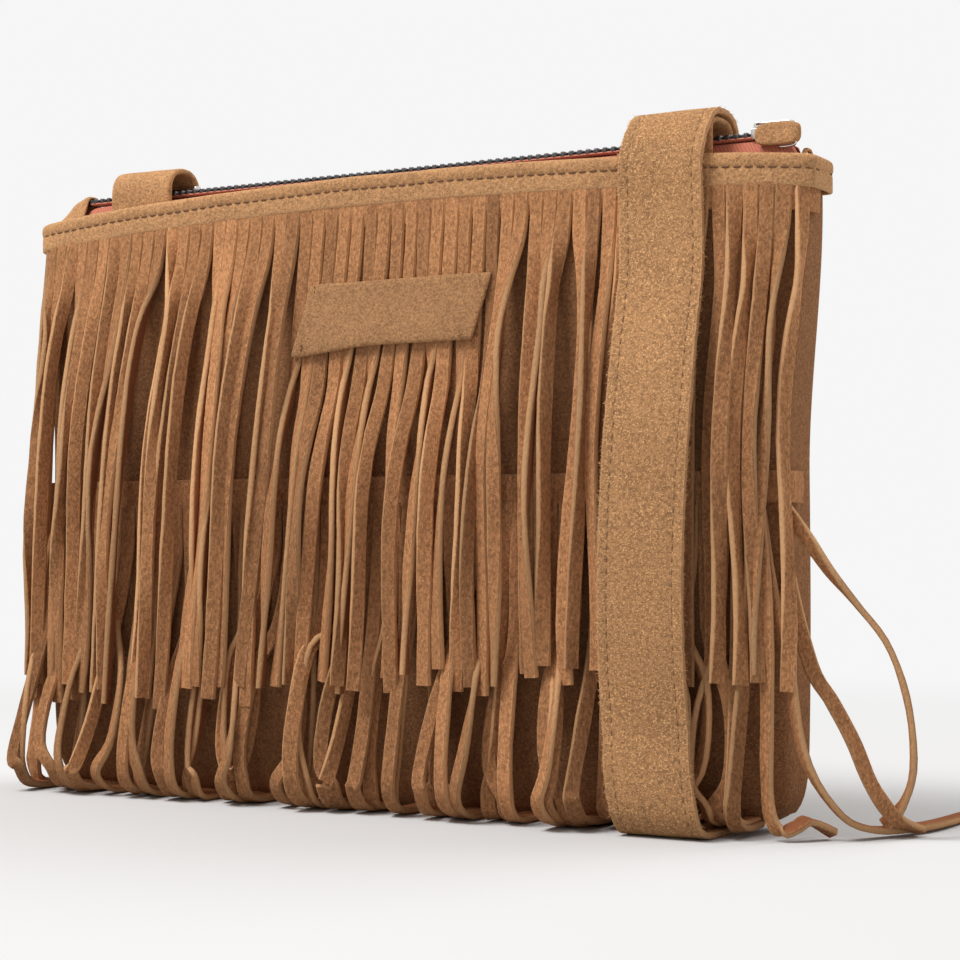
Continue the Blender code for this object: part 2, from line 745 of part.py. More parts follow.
def build_slider(chrome):
    """The slider with its crown."""
    left = SLIDER_X - SLIDER_LENGTH / 2
    sections = [[(x, y, z) for y, z in slider_outline()] for x in (left, left + SLIDER_LENGTH)]
    plate = add_object("zip_slider", loft("zip_slider", sections), chrome)
    eye = pull_pivot()[0]
    bm = bmesh.new()
    face = bm.faces.new([bm.verts.new((eye + dx, -CROWN_WIDTH / 2, slider_top() + dz))
                         for dx, dz in crown_outline()])
    grown = bmesh.ops.extrude_face_region(bm, geom=[face])
    moved = [v for v in grown["geom"] if isinstance(v, bmesh.types.BMVert)]
    bmesh.ops.translate(bm, verts=moved, vec=(0, CROWN_WIDTH, 0))
    union(plate, add_object("crown_shape", mesh_from(bm, "crown_shape"), chrome))


def build_pull(chrome):
    """The wire pull: its bar goes through the slider's crown, and its hook hangs in front of the zip."""
    eye, _, high = pull_pivot()
    reach = eye + PULL_REACH
    low = high - PULL_DROP
    corner = PULL_CORNER
    route = [
        (eye, PULL_BACK, high), (eye, -PULL_FRONT + corner, high), (eye + corner, -PULL_FRONT, high),
        (reach - corner, -PULL_FRONT, high), (reach, -PULL_FRONT, high - corner),
        (reach, -PULL_FRONT, low + corner), (reach - corner, -PULL_FRONT, low),
        (reach - PULL_RETURN, -PULL_FRONT, low),
    ]
    add_wire("zip_pull", route, PULL_WIRE, chrome, pull_pivot(), closed=False)


def build_pull_tab(suede):
    """The suede tab, folded round the pull's front bar and closed towards the left."""
    eye, _, high = pull_pivot()
    bar = eye + PULL_REACH
    lay = PULL_WIRE / 2 + FIT_GAP / 2 + PULL_TAB_SUEDE / 2
    near = PULL_TAB_SUEDE / 2 + FIT_GAP / 2
    half = [(bar - PULL_TAB_LENGTH, near), (bar - PULL_TAB_SEAM, near), (bar - PULL_TAB_FLARE, lay),
            (bar, lay), (bar + lay - 0.0003, lay * 0.6)]
    line = [(x, -PULL_FRONT - away) for x, away in half] + [(bar + lay, -PULL_FRONT)]
    line += [(x, -PULL_FRONT + away) for x, away in half[::-1]]
    strip = thicken(line, PULL_TAB_SUEDE)
    top = high - PULL_WIRE / 2 - FIT_GAP
    sections = [[(p.x, p.y, z) for p in strip] for z in (top - PULL_TAB_HEIGHT, top)]
    add_object("pull_tab", loft("pull_tab", sections, thin=True), suede, pull_pivot())


def union(target, tool):
    """Join a second shape into the first with a Boolean, and drop the second."""
    joined = target.modifiers.new("join", "BOOLEAN")
    joined.operation = "UNION"
    joined.solver = "EXACT"
    joined.object = tool
    bpy.context.view_layer.update()
    done = bpy.data.meshes.new_from_object(target.evaluated_get(bpy.context.evaluated_depsgraph_get()))
    target.modifiers.clear()
    target.data = done
    bpy.data.objects.remove(tool)


def add_wire(name, route, diameter, metal, origin, closed=True):
    """A length of round wire, or a closed loop of it, as a curve with a bevel."""
    curve = bpy.data.curves.new(name, "CURVE")
    curve.dimensions = "3D"
    curve.bevel_depth = diameter / 2
    curve.bevel_resolution = 2
    line = curve.splines.new("POLY")
    line.points.add(len(route) - 1)
    for point, place in zip(line.points, route):
        point.co = (*(Vector(place) - Vector(origin)), 1.0)
    line.use_cyclic_u = closed
    curve.use_fill_caps = not closed
    add_object(name, curve, metal, origin)


def saddle(x, half):
    """A cross-section of a suede saddle over the zip, as a thin loop, from its back half."""
    line = [(-y, z) for y, z in half] + half[::-1]
    return [(x, p.x, p.y) for p in thicken(line, END_TAB_SUEDE)]


def left_tab_section(x, top):
    """The left saddle's section, over the teeth and the tape's shoulders."""
    ridge = TEETH_SPLIT / 2 + TEETH_DEPTH + FIT_GAP
    shoulder = TAPE_SHOULDER_HALF + TAPE_THICKNESS / 2 + FIT_GAP + END_TAB_SUEDE / 2
    low_shoulder = min(TAPE_SHOULDER + 0.0008, top - 0.0022)
    return saddle(x, [(shoulder + 0.0001, END_TAB_FOOT), (shoulder, low_shoulder),
                      (ridge + 0.0008, top - 0.0014), (ridge - 0.0006, top)])


def right_tab_section(x):
    """The right saddle's section, over the tape's low tail."""
    ridge = TEETH_SPLIT / 2 + TEETH_DEPTH / 2
    over = TAPE_THICKNESS / 2 + FIT_GAP + END_TAB_SUEDE / 2
    shoulder = TAPE_TAIL_HALF + over + 0.0003
    low = TAPE_TAIL_TOP - TAPE_TAIL_SLOPE
    return saddle(x, [(shoulder, END_TAB_FOOT), (shoulder, low + over * 0.5),
                      (ridge, TAPE_TAIL_TOP + over * 1.4)])


def build_end_tabs(suede):
    """The suede saddles that cover the zip's two ends."""
    over = TEETH_TOP + FIT_GAP + END_TAB_SUEDE / 2
    start, end = END_TAB_LEFT
    sections = [left_tab_section(start, over - 0.0060), left_tab_section(start + 0.004, over - 0.0022),
                left_tab_section(TAPE_START_X - 0.0005, over), left_tab_section(end, over)]
    add_object("zip_end_tab_left", loft("zip_end_tab_left", sections, thin=True), suede)
    sections = [right_tab_section(x) for x in END_TAB_RIGHT]
    add_object("zip_end_tab_right", loft("zip_end_tab_right", sections, thin=True), suede)


def loop_line(spring, top, power):
    """Middle line of a ring loop, from its front foot over the zip to its back foot."""
    reach = LOOP_HALF_DEPTH - LOOP_SUEDE / 2
    rise = top - LOOP_SUEDE / 2 - spring
    half = [(-reach, LOOP_FOOT), (-reach, (LOOP_FOOT + spring) / 2), (-reach, spring)]
    for turn in (15, 30, 45, 60, 75):
        out = math.cos(math.radians(turn)) ** (2 / power)
        up = math.sin(math.radians(turn)) ** (2 / power)
        half.append((-reach * out, spring + rise * up))
    return half + [(0.0, spring + rise)] + [(-y, z) for y, z in half[::-1]]


def build_loops(suede):
    """The two suede loops that stand over the zip and hold the rings."""
    shapes = {
        "ring_loop_left": (LOOP_LEFT_X, LOOP_LEFT_SPRING, LOOP_LEFT_TOP, LOOP_LEFT_ROUND),
        "ring_loop_right": (LOOP_RIGHT_X, LOOP_RIGHT_TOP - LOOP_RIGHT_CORNER, LOOP_RIGHT_TOP,
                            LOOP_RIGHT_ROUND),
    }
    for name, (middle, spring, top, power) in shapes.items():
        line = thicken(loop_line(spring, top, power), LOOP_SUEDE)
        ends = (middle - LOOP_WIDTH / 2, middle + LOOP_WIDTH / 2)
        sections = [[(x, p.x, p.y) for p in line] for x in ends]
        add_object(name, loft(name, sections, thin=True), suede)


def ring_place(across, along, pivot_z):
    """A point of a ring from its distance across the bag and from its pivot bar."""
    back = RING_PIVOT_Y + along * math.cos(RING_TILT)
    return (across, back, pivot_z + along * math.sin(RING_TILT))


def build_rings(metal):
    """The two metal rings, each a rounded rectangle of wire that hangs to the back."""
    half = (RING_WIDTH - RING_WIRE) / 2
    length = RING_LENGTH - RING_WIRE
    for name, middle, pivot_z in (("ring_left", RING_LEFT_X, RING_LEFT_PIVOT_Z),
                                  ("ring_right", RING_RIGHT_X, RING_RIGHT_PIVOT_Z)):
        route = []
        corners = ((1, 0, 270), (1, 1, 0), (-1, 1, 90), (-1, 0, 180))
        for side, far, start in corners:
            for step in range(4):
                turn = math.radians(start + 30 * step)
                across = side * (half - RING_CORNER) + RING_CORNER * math.cos(turn)
                along = far * length + (1 - 2 * far) * RING_CORNER + RING_CORNER * math.sin(turn)
                route.append(ring_place(middle + across, along, pivot_z))
        add_wire(name, route, RING_WIRE, metal, (middle, RING_PIVOT_Y, pivot_z))


def front_face(x, z):
    """Depth of the strap's middle line over the front, clear of the band and the strands."""
    gather, reach = upper_lie(upper_header_bottom(x), z)
    turned = math.sin(strand_turn(STRAND_PITCH * (1.0 - UPPER_CLUMP))) * (STRAND_PITCH - SLIT)
    strands = hang_depth(x, z) + FIT_GAP + FRINGE_SUEDE + UPPER_STANDOFF * reach + turned * gather
    band = wall_depth(x, rim_height(x) - BAND_HEIGHT) + BAND_OUT
    return max(strands, band) + STRAP_STANDOFF + STRAP_THICKNESS / 2


def ring_end(middle, pivot_z, main_from, tail_run):
    """Strap stations round a ring's outer bar: the tail's end first, then the main run.

    main_from is the direction of the main run as it leaves the bar, in the YZ plane.
    """
    _, bar_y, bar_z = ring_place(middle, RING_LENGTH - RING_WIRE, pivot_z)
    bend = RING_WIRE / 2 + 2 * FIT_GAP + STRAP_THICKNESS / 2
    away = Vector(main_from).normalized()
    side = Vector((-away.y, away.x))
    bar = Vector((bar_y, bar_z))
    close = STRAP_THICKNESS + FIT_GAP * 1.5
    main_side = bar - side * bend
    tail = main_side + side * close
    rows = [tail + away * tail_run, tail + away * (tail_run * 0.62), bar + side * bend + away * 0.0006]
    for angle in (45, 90, 135):
        turn = math.radians(angle)
        rows.append(bar + side * bend * math.cos(turn) - away * bend * math.sin(turn))
    rows.append(main_side)
    return [(middle, p.x, p.y) for p in rows]


def strap_stations():
    """Stations of the strap as (place, width direction), from the right ring to the left ring."""
    wide = (1, 0, 0)
    thick = STRAP_THICKNESS
    rows = [(p, wide) for p in ring_end(RING_RIGHT_X, RING_RIGHT_PIVOT_Z, (-0.73, 0.69), 0.0135)]
    lay = LOOP_RIGHT_TOP + FIT_GAP + thick / 2 + 0.0001
    crest = ((0.0183, 0.01195), (0.0112, 0.00555), (0.0082, 0.00205), (0.0040, 0.0), (-0.0040, 0.0),
             (-0.0084, 0.00195), (-0.0122, 0.00595), (-0.0153, 0.01045))
    rows += [((LOOP_RIGHT_X, y, lay - fall), wide) for y, fall in crest]
    for x, share in ((0.1065, 1.0), (0.1068, 0.938), (0.1080, 0.837), (0.1085, 0.718), (0.1085, 0.598),
                     (0.1075, 0.478), (0.1070, 0.359), (0.1075, 0.249), (0.1088, 0.163)):
        z = RIM_HEIGHT * share
        rows.append(((x, -front_face(x, z), z), wide))
    front = front_face(0.108, BULGE_HEIGHT)
    floor = thick / 2 + FIT_GAP / 2
    rows += [((0.1105, -front - 0.0022, 0.0200), wide), ((0.1125, -front - 0.0026, 0.0090), wide),
             ((0.1135, -front + 0.0006, 0.0026), wide), ((0.1140, -front + 0.0070, floor), wide)]
    rows += [((STRAP_UNDER_X, y, floor), wide) for y in (-0.020, -0.006, 0.010, 0.022)]
    edge = STRAP_WIDTH / 2 + FIT_GAP
    rows += [
        ((0.1137, 0.0300, 0.0036), (0.99, 0.10, 0.15)),
        ((0.1115, 0.0380, 0.0076), (0.85, 0.27, 0.45)),
        ((0.1050, 0.0455, 0.0111), (0.50, 0.50, 0.71)),
        ((0.0955, 0.0490, 0.0142), (0.10, 0.30, 0.95)),
        ((0.0820, 0.0498, edge), (0, 0, 1)),
        ((0.0600, 0.0485, edge), (0, 0, 1)),
        ((0.0300, 0.0462, edge), (0, 0, 1)),
        ((0.0000, 0.0450, edge), (0, 0, 1)),
        ((-0.0350, 0.0450, edge), (0, 0, 1)),
        ((-0.0480, 0.0520, edge), (0, 0, 1)),
        ((-0.0350, 0.0590, edge), (0, 0, 1)),
        ((0.0000, 0.0590, edge), (0, 0, 1)),
        ((0.0350, 0.0600, edge), (0, 0, 1)),
        ((0.0480, 0.0670, edge), (0, 0, 1)),
        ((0.0350, 0.0740, edge), (0, 0, 1)),
        ((0.0000, 0.0745, edge), (0, 0, 1)),
        ((-0.0400, 0.0745, edge), (0, 0, 1)),
        ((-0.0760, 0.0740, edge), (0, 0, 1)),
        ((-0.0890, 0.0722, 0.0142), (0.10, -0.30, 0.95)),
        ((-0.0985, 0.0672, 0.0111), (0.50, -0.50, 0.71)),
        ((-0.1045, 0.0590, 0.0076), (0.85, -0.27, 0.45)),
        ((-0.1068, 0.0505, 0.0036), (0.99, -0.10, 0.15)),
        ((-0.1080, 0.0430, 0.0030), wide),
        ((-0.1085, 0.0375, 0.0072), wide),
        ((-0.1088, 0.0350, RIM_HEIGHT * 0.086), wide),
        ((-0.1090, 0.0345, RIM_HEIGHT * 0.215), wide),
        ((-0.1090, 0.0350, RIM_HEIGHT * 0.431), wide),
        ((-0.1090, 0.0340, RIM_HEIGHT * 0.622), wide),
        ((-0.1090, 0.0310, RIM_HEIGHT * 0.789), wide),
    ]
    last = [(p, wide) for p in ring_end(RING_LEFT_X, RING_LEFT_PIVOT_Z, (0.035, -1.0), 0.020)]
    return rows + last[::-1]


def build_strap(suede):
    """The flat shoulder strap, swept along its stations with its width turned as it lies."""
    rows = [tuple(p) + tuple(Vector(w).normalized() * 0.02) for p, w in strap_stations()]
    rows = rows_without_repeats(rows)
    path = smooth_stations(rows)
    sections = []
    for k, station in enumerate(path):
        place = Vector(station[:3])
        before = Vector(path[max(k - 1, 0)][:3])
        after = Vector(path[min(k + 1, len(path) - 1)][:3])
        along = (after - before).normalized()
        wide = Vector(station[3:])
        wide = (wide - along * wide.dot(along)).normalized()
        thick = wide.cross(along).normalized()
        half_w = wide * (STRAP_WIDTH / 2)
        half_t = thick * (STRAP_THICKNESS / 2)
        sections.append(set_down([place - half_w - half_t, place + half_w - half_t,
                                  place + half_w + half_t, place - half_w + half_t]))
    add_object("shoulder_strap", loft("shoulder_strap", sections), suede)


def rows_without_repeats(rows):
    """Drop a station that lies on the one before it."""
    kept = [rows[0]]
    for row in rows[1:]:
        if math.dist(row[:3], kept[-1][:3]) > 1e-5:
            kept.append(row)
    return kept


def smooth_stations(rows):
    """A smooth curve through the stations, with shorter steps where the strap bends."""
    path = []
    last = len(rows) - 1
    for k in range(last):
        a, b, c, d = (rows[max(k - 1, 0)], rows[k], rows[k + 1], rows[min(k + 2, last)])
        span = math.dist(b[:3], c[:3])
        steps = 1 if span < STRAP_FINE_STATION else (2 if span < STRAP_STATION * 2 else 3)
        for step in range(steps):
            t = step / steps
            path.append([0.5 * (2 * q + (r - p) * t + (2 * p - 5 * q + 4 * r - s) * t ** 2
                                + (3 * q - p - 3 * r + s) * t ** 3) for p, q, r, s in zip(a, b, c, d)])
    path.append(list(rows[-1]))
    return path


def main():
    """Build the bag from an empty scene."""
    for obj in list(bpy.data.objects):
        bpy.data.objects.remove(obj)
    bag = bpy.data.collections.new("fringed_suede_bag")
    bpy.context.scene.collection.children.link(bag)
    tan = material("suede_tan", SUEDE_TAN, 0.95)
    brown = material("suede_brown", SUEDE_BROWN, 0.95)
    cloth = material("zip_cloth", ZIP_TERRACOTTA, 0.85)
    dark = material("gunmetal", GUNMETAL, 0.35, 1.0)
    bright = material("nickel", NICKEL, 0.2, 1.0)
    build_panels(brown)
    build_band("band_front", -1, tan)
    build_band("band_back", 1, tan)
    build_fringes(brown)
    build_patch(tan)
    build_tape("zip_tape_front", -1, cloth)
    build_tape("zip_tape_back", 1, cloth)
    build_teeth("zip_teeth_front", -1, dark)
    build_teeth("zip_teeth_back", 1, dark)
    build_stops(dark)
    build_slider(bright)
    build_pull(bright)
    build_pull_tab(tan)
    build_end_tabs(tan)
    build_loops(tan)
    build_rings(bright)
    build_strap(tan)


main()
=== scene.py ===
"""Looks of the fringed suede bag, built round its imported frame.

X runs along the zip, -Y is the front and +Z is up, in metres, as in the frame. Run it as a script:
each operator below makes one piece or one group of like pieces, and main() calls them in order.
"""
import math
import random

import bmesh
import bpy
from bpy.props import FloatProperty, FloatVectorProperty, IntProperty, PointerProperty
from mathutils import Matrix, Vector, noise


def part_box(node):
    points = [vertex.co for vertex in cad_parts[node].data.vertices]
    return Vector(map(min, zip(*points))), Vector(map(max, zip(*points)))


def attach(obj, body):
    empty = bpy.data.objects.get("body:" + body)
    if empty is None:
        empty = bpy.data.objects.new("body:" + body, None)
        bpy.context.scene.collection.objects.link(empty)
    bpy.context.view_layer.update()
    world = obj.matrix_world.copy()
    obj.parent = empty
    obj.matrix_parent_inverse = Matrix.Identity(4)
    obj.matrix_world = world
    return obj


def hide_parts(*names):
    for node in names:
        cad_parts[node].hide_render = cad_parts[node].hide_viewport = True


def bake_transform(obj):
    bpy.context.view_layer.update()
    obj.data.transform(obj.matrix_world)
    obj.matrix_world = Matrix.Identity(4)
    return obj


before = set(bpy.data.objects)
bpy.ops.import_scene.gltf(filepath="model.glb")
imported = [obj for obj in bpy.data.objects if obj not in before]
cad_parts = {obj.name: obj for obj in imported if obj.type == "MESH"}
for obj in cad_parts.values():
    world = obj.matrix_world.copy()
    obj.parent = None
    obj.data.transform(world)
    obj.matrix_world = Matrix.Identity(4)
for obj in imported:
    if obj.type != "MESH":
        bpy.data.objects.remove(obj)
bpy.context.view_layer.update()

bl_info = {
    "name": "Fringed suede bag",
    "version": (1, 0, 0),
    "blender": (4, 5, 0),
    "location": "View3D > Sidebar > Bag",
    "description": "Builds the suede, fringe, zip, rings and strap of a fringed bag round its frame",
    "category": "Object",
}

# Form of the pouch, as in the frame
BAG_WIDTH = 0.310
RIM_HEIGHT = 0.209
RIM_CROWN = 0.006
RIM_HALF_DEPTH = 0.0114
BULGE_HALF_DEPTH = 0.020
BULGE_HEIGHT = 0.075
SOLE_HALF_DEPTH = 0.009
WAIST_HALF_WIDTH = 0.146
WAIST_HEIGHT = 0.110
SOLE_HALF_WIDTH = 0.130
CORNER_HEIGHT = 0.026
SECTION_POWER = 6.0
SIDE_ROUNDING = 0.008
BAND_HEIGHT = 0.010
BAND_OUT = 0.0029
RIM_HALF_WIDTH = BAG_WIDTH / 2 - BAND_OUT
ROOT_LEVEL = RIM_HEIGHT - BAND_HEIGHT - 0.004
SUEDE = 0.0012
STRAP_UNDER_X = 0.114
STRAP_LIFT = 0.0030
LOWER_HEADER_TOP = 0.112
LOWER_HEADER_FOOT = 0.1022
LOWER_ROOT_LEVEL = 0.103
HEADER_STEP = 0.0022

# Where the patch holds the strands down, and where the strap does
PATCH_X = 0.0075
PATCH_HOLD = 0.040
PATCH_FOOT = 0.152
STRAP_HOLD_X = 0.109
STRAP_HOLD = 0.019

# What the slow noise of worn suede starts from: without it, Blender starts from the clock
RIPPLE_SEED = 4

# The zip's teeth: from tooth to tooth, and one tooth along, across and up
TOOTH_PITCH = 0.0031
TOOTH = (0.0015, 0.0026, 0.0021)

# The strap's stations, in millimetres: (y, z) at the rings, (x, y, z) down the front, (x, y) on edge
STRAP_RIGHT_X = 107.0
STRAP_LEFT_X = -109.0
STRAP_ON_EDGE_Z = 14.8
STRAP_RIGHT = ((16.8, 220.0), (20.6, 216.4), (24.0, 208.7), (26.5, 207.5), (28.5, 208.4), (29.3, 210.5),
               (28.4, 212.5), (18.3, 214.8), (11.2, 221.2), (8.2, 224.7), (4.0, 226.7), (-4.0, 226.7),
               (-8.4, 224.8), (-12.2, 220.8), (-15.3, 216.3))
STRAP_FRONT = ((106.5, -17.0, 209.0), (106.8, -17.0, 196.0), (108.0, -19.6, 174.9),
               (108.5, -26.4, 150.0), (108.5, -31.4, 125.0), (107.5, -32.9, 99.9),
               (107.0, -33.3, 75.0), (107.5, -33.3, 52.0), (108.8, -33.2, 34.0),
               (110.5, -35.5, 20.0), (112.5, -35.9, 9.0), (113.5, -32.7, 2.6),
               (114.0, -26.3, 1.2), (114.0, -20.0, 1.2), (114.0, -6.0, 1.2), (114.0, 10.0, 1.2),
               (114.0, 22.0, 1.2))
STRAP_TWIST = ((113.7, 30.0, 3.6, 0.99, 0.1, 0.15), (111.5, 38.0, 7.6, 0.85, 0.27, 0.45),
               (105.0, 45.5, 11.1, 0.5, 0.5, 0.71), (95.5, 49.0, 14.2, 0.1, 0.3, 0.95))
STRAP_FLOOR = ((82.0, 49.8), (60.0, 48.5), (30.0, 46.2), (0.0, 45.0), (-35.0, 45.0), (-48.0, 52.0),
               (-35.0, 59.0), (0.0, 59.0), (35.0, 60.0), (48.0, 67.0), (35.0, 74.0), (0.0, 74.5),
               (-40.0, 74.5), (-76.0, 74.0))
STRAP_TWIST_BACK = ((-89.0, 72.2, 14.2, 0.1, -0.3, 0.95), (-98.5, 67.2, 11.1, 0.5, -0.5, 0.71),
                    (-104.5, 59.0, 7.6, 0.85, -0.27, 0.45), (-106.8, 50.5, 3.6, 0.99, -0.1, 0.15))
STRAP_LEFT = ((43.0, 3.0), (37.5, 7.2), (35.0, 18.0), (34.5, 44.9), (35.0, 90.1), (34.0, 130.0),
              (31.0, 164.9), (23.5, 212.7), (24.3, 214.8), (26.3, 215.7), (28.4, 215.0), (29.3, 212.3),
              (26.5, 200.4),
              (26.8, 192.8))
STRAP_HALF = 0.0145
STRAP_HALF_THICK = 0.00105
STRAP_STEP = 0.0022

# The strap's cut: place across, place through, and how far it is a raw edge
STRAP_FACE = ((-0.985, 0.85, 0.7), (-0.93, 1.0, 0.1), (-0.80, 1.02, 0.0), (-0.765, 0.84, 0.0),
              (-0.73, 1.0, 0.0),
              (-0.35, 1.04, 0.0), (0.0, 1.05, 0.0), (0.35, 1.04, 0.0), (0.73, 1.0, 0.0), (0.765, 0.84, 0.0),
              (0.80, 1.02, 0.0), (0.93, 1.0, 0.1), (0.985, 0.85, 0.7))
STRAP_CUT = (((-1.0, 0.0, 1.0),) + STRAP_FACE + ((1.0, 0.0, 1.0),)
             + tuple((x, -t, edge) for x, t, edge in STRAP_FACE[::-1]))

# A stitch's rings: place along, girth and lift
STITCH = ((-1.0, 0.45, -0.7), (-0.72, 0.9, 0.1), (0.0, 1.0, 0.5), (0.72, 0.9, 0.1), (1.0, 0.45, -0.7))

# The look of a plain point: its tone, raw edge, grain side and reach
PLAIN = (0.5, 0.0, 0.0, 0.0)
X_AXIS = Vector((1.0, 0.0, 0.0))

# A strip's cut: place across, place through, and how far it is a raw edge
STRIP_CUT = (
    (-1.0, -0.5, 1.0), (-0.86, -1.0, 0.35), (-0.3, -1.08, 0.0), (0.3, -1.08, 0.0),
    (0.86, -1.0, 0.35), (1.0, -0.5, 1.0), (1.0, 0.5, 1.0), (0.86, 1.0, 0.35),
    (0.3, 1.04, 0.0), (-0.3, 1.04, 0.0), (-0.86, 1.0, 0.35), (-1.0, 0.5, 1.0),
)


def linear(red, green, blue):
    """A colour given as it shows on a screen, as Blender's linear values."""
    return tuple(c / 12.92 if c <= 0.04045 else ((c + 0.055) / 1.055) ** 2.4
                 for c in (red / 255, green / 255, blue / 255))


def shaded(colour, share=1.0):
    """A colour made darker or lighter, with its alpha."""
    return (*[min(1.0, c * share) for c in colour], 1.0)


def clamp01(value):
    """Keep a share between 0 and 1."""
    return max(0.0, min(1.0, value))


def ease(value):
    """A smooth step from 0 to 1."""
    share = clamp01(value)
    return share * share * (3.0 - 2.0 * share)


def rim_height(x):
    """Height of the band's top edge, which is crowned along the bag."""
    return RIM_HEIGHT + RIM_CROWN * (1.0 - (2.0 * x / BAG_WIDTH) ** 2)


def crowned(x, z):
    """The real height of a point that is given on a bag with a straight rim."""
    return z + (rim_height(x) - RIM_HEIGHT) * (z / RIM_HEIGHT) ** 2


def half_width(z):
    """Half the pouch's width at a height on a bag with a straight rim."""
    if z < CORNER_HEIGHT:
        share = (1.0 - clamp01(1.0 - z / CORNER_HEIGHT) ** 3) ** (1 / 3)
        return SOLE_HALF_WIDTH + (WAIST_HALF_WIDTH - SOLE_HALF_WIDTH) * share
    climb = (z - WAIST_HEIGHT) / (RIM_HEIGHT - BAND_HEIGHT - WAIST_HEIGHT)
    return WAIST_HALF_WIDTH + (RIM_HALF_WIDTH - WAIST_HALF_WIDTH) * ease(climb)


def half_depth(z):
    """Half the pouch's depth at its middle."""
    if z < BULGE_HEIGHT:
        share = math.sqrt(1.0 - (1.0 - z / BULGE_HEIGHT) ** 2)
        return SOLE_HALF_DEPTH + (BULGE_HALF_DEPTH - SOLE_HALF_DEPTH) * share
    climb = clamp01((RIM_HEIGHT - z) / (RIM_HEIGHT - BULGE_HEIGHT))
    return RIM_HALF_DEPTH + (BULGE_HALF_DEPTH - RIM_HALF_DEPTH) * math.sin(climb * math.pi / 2)


def uncrowned(x, z):
    """The height that a point would have on a bag with a straight rim."""
    return z - (rim_height(x) - RIM_HEIGHT) * (z / rim_height(x)) ** 2


def wall_depth(x, z):
    """Distance from the middle plane to the pouch's outer face."""
    level = uncrowned(x, z)
    share = (1.0 - min(1.0, abs(x / half_width(level))) ** SECTION_POWER) ** (1.0 / SECTION_POWER)
    return half_depth(level) * share


def hang_depth(x, z):
    """Where a strand hangs: on the wall, and straight down below its fullest height."""
    height = max(z, BULGE_HEIGHT)
    side = half_width(uncrowned(x, height)) - SIDE_ROUNDING
    return wall_depth(max(-side, min(side, x)), height)


def strap_lift(x):
    """How much the sole is lifted where the strap passes under it."""
    return STRAP_LIFT * (1.0 - ease((abs(x - STRAP_UNDER_X) - 0.0195) / 0.012))


def pouch_point(angle, z, out=0.0):
    """A point of the pouch's front half at an angle from the left seam, at a height."""
    power = 2.0 / SECTION_POWER
    across = math.copysign(abs(math.cos(angle)) ** power, math.cos(angle))
    share = max(0.0, math.sin(angle)) ** power
    x = -(half_width(max(z, 0.0)) + out) * across
    return x, (half_depth(max(z, 0.0)) + out) * share


def front_walk(z, spacing):
    """Points round the front at a height, evenly spaced by a distance along the wall."""
    dense = []
    for k in range(721):
        share = 2.0 * k / 720 - 1.0
        angle = math.pi / 2 * (1.0 + math.copysign(abs(share) ** 0.6, share))
        dense.append(pouch_point(angle, z))
    gone = [0.0]
    for a, b in zip(dense, dense[1:]):
        gone.append(gone[-1] + math.dist(a, b))
    count = int(gone[-1] / spacing)
    walk = []
    i = 0
    for k in range(count):
        want = gone[-1] * (k + 0.5) / count
        while gone[i + 1] < want:
            i += 1
        ahead = Vector(dense[i + 1]) - Vector(dense[i])
        place = Vector(dense[i]) + ahead * ((want - gone[i]) / (gone[i + 1] - gone[i]))
        walk.append((place.x, place.y, ahead.normalized()))
    return walk


def root_width(root):
    """The direction along the wall at a strand's root."""
    return Vector((root[2].x, -root[2].y, 0.0))


def smooth_line(points, count):
    """Evenly read points of a smooth curve through the given ones, each a tuple of numbers."""
    last = len(points) - 1
    line = []
    for k in range(count):
        place = last * k / (count - 1)
        i = min(int(place), last - 1)
        t = place - i
        a, b, c, d = (points[max(i - 1, 0)], points[i], points[i + 1], points[min(i + 2, last)])
        line.append([0.5 * (2 * q + (r - p) * t + (2 * p - 5 * q + 4 * r - s) * t ** 2
                            + (3 * q - p - 3 * r + s) * t ** 3) for p, q, r, s in zip(a, b, c, d)])
    return line


def even_line(points, step):
    """The same smooth curve, read at equal steps along it."""
    dense = smooth_line(points, len(points) * 14)
    gone = [0.0]
    for a, b in zip(dense, dense[1:]):
        gone.append(gone[-1] + math.dist(a[:3], b[:3]))
    count = max(2, round(gone[-1] / step) + 1)
    line = []
    i = 0
    for k in range(count):
        want = gone[-1] * k / (count - 1)
        while i < len(gone) - 2 and gone[i + 1] < want:
            i += 1
        t = (want - gone[i]) / max(gone[i + 1] - gone[i], 1e-9)
        line.append([p + (q - p) * t for p, q in zip(dense[i], dense[i + 1])])
    return line


def strip_ring(centre, along, wide, half_w, half_t, tone, far):
    """One cut of a suede strip: its points, each with its tone, raw edge, grain side and reach."""
    wide = (wide - along * wide.dot(along)).normalized()
    through = wide.cross(along).normalized()
    return [(centre + wide * (across * half_w) + through * (deep * half_t),
             (tone, edge, 1.0 if deep < 0 else 0.0, far)) for across, deep, edge in STRIP_CUT]


def extrude_strips(bm, strips):
    """Extrude every strip through its rings at once. All strips have the same number of rings."""
    layer = bm.verts.layers.float_color.get("strip") or bm.verts.layers.float_color.new("strip")
    number = bm.faces.layers.int.get("number") or bm.faces.layers.int.new("number")
    faces = []
    for k, rings in enumerate(strips):
        verts = []
        for place, look in rings[0]:
            vert = bm.verts.new(place)
            vert[layer] = look
            verts.append(vert)
        face = bm.faces.new(verts)
        face[number] = k
        faces.append(face)
    for level in range(1, len(strips[0])):
        faces = bmesh.ops.extrude_discrete_faces(bm, faces=faces)["faces"]
        for face in faces:
            for vert, (place, look) in zip(face.verts, strips[face[number]][level]):
                vert.co = place
                vert[layer] = look


def new_object(name, data):
    """A new object, linked to the scene."""
    obj = bpy.data.objects.new(name, data)
    bpy.context.scene.collection.objects.link(obj)
    return obj


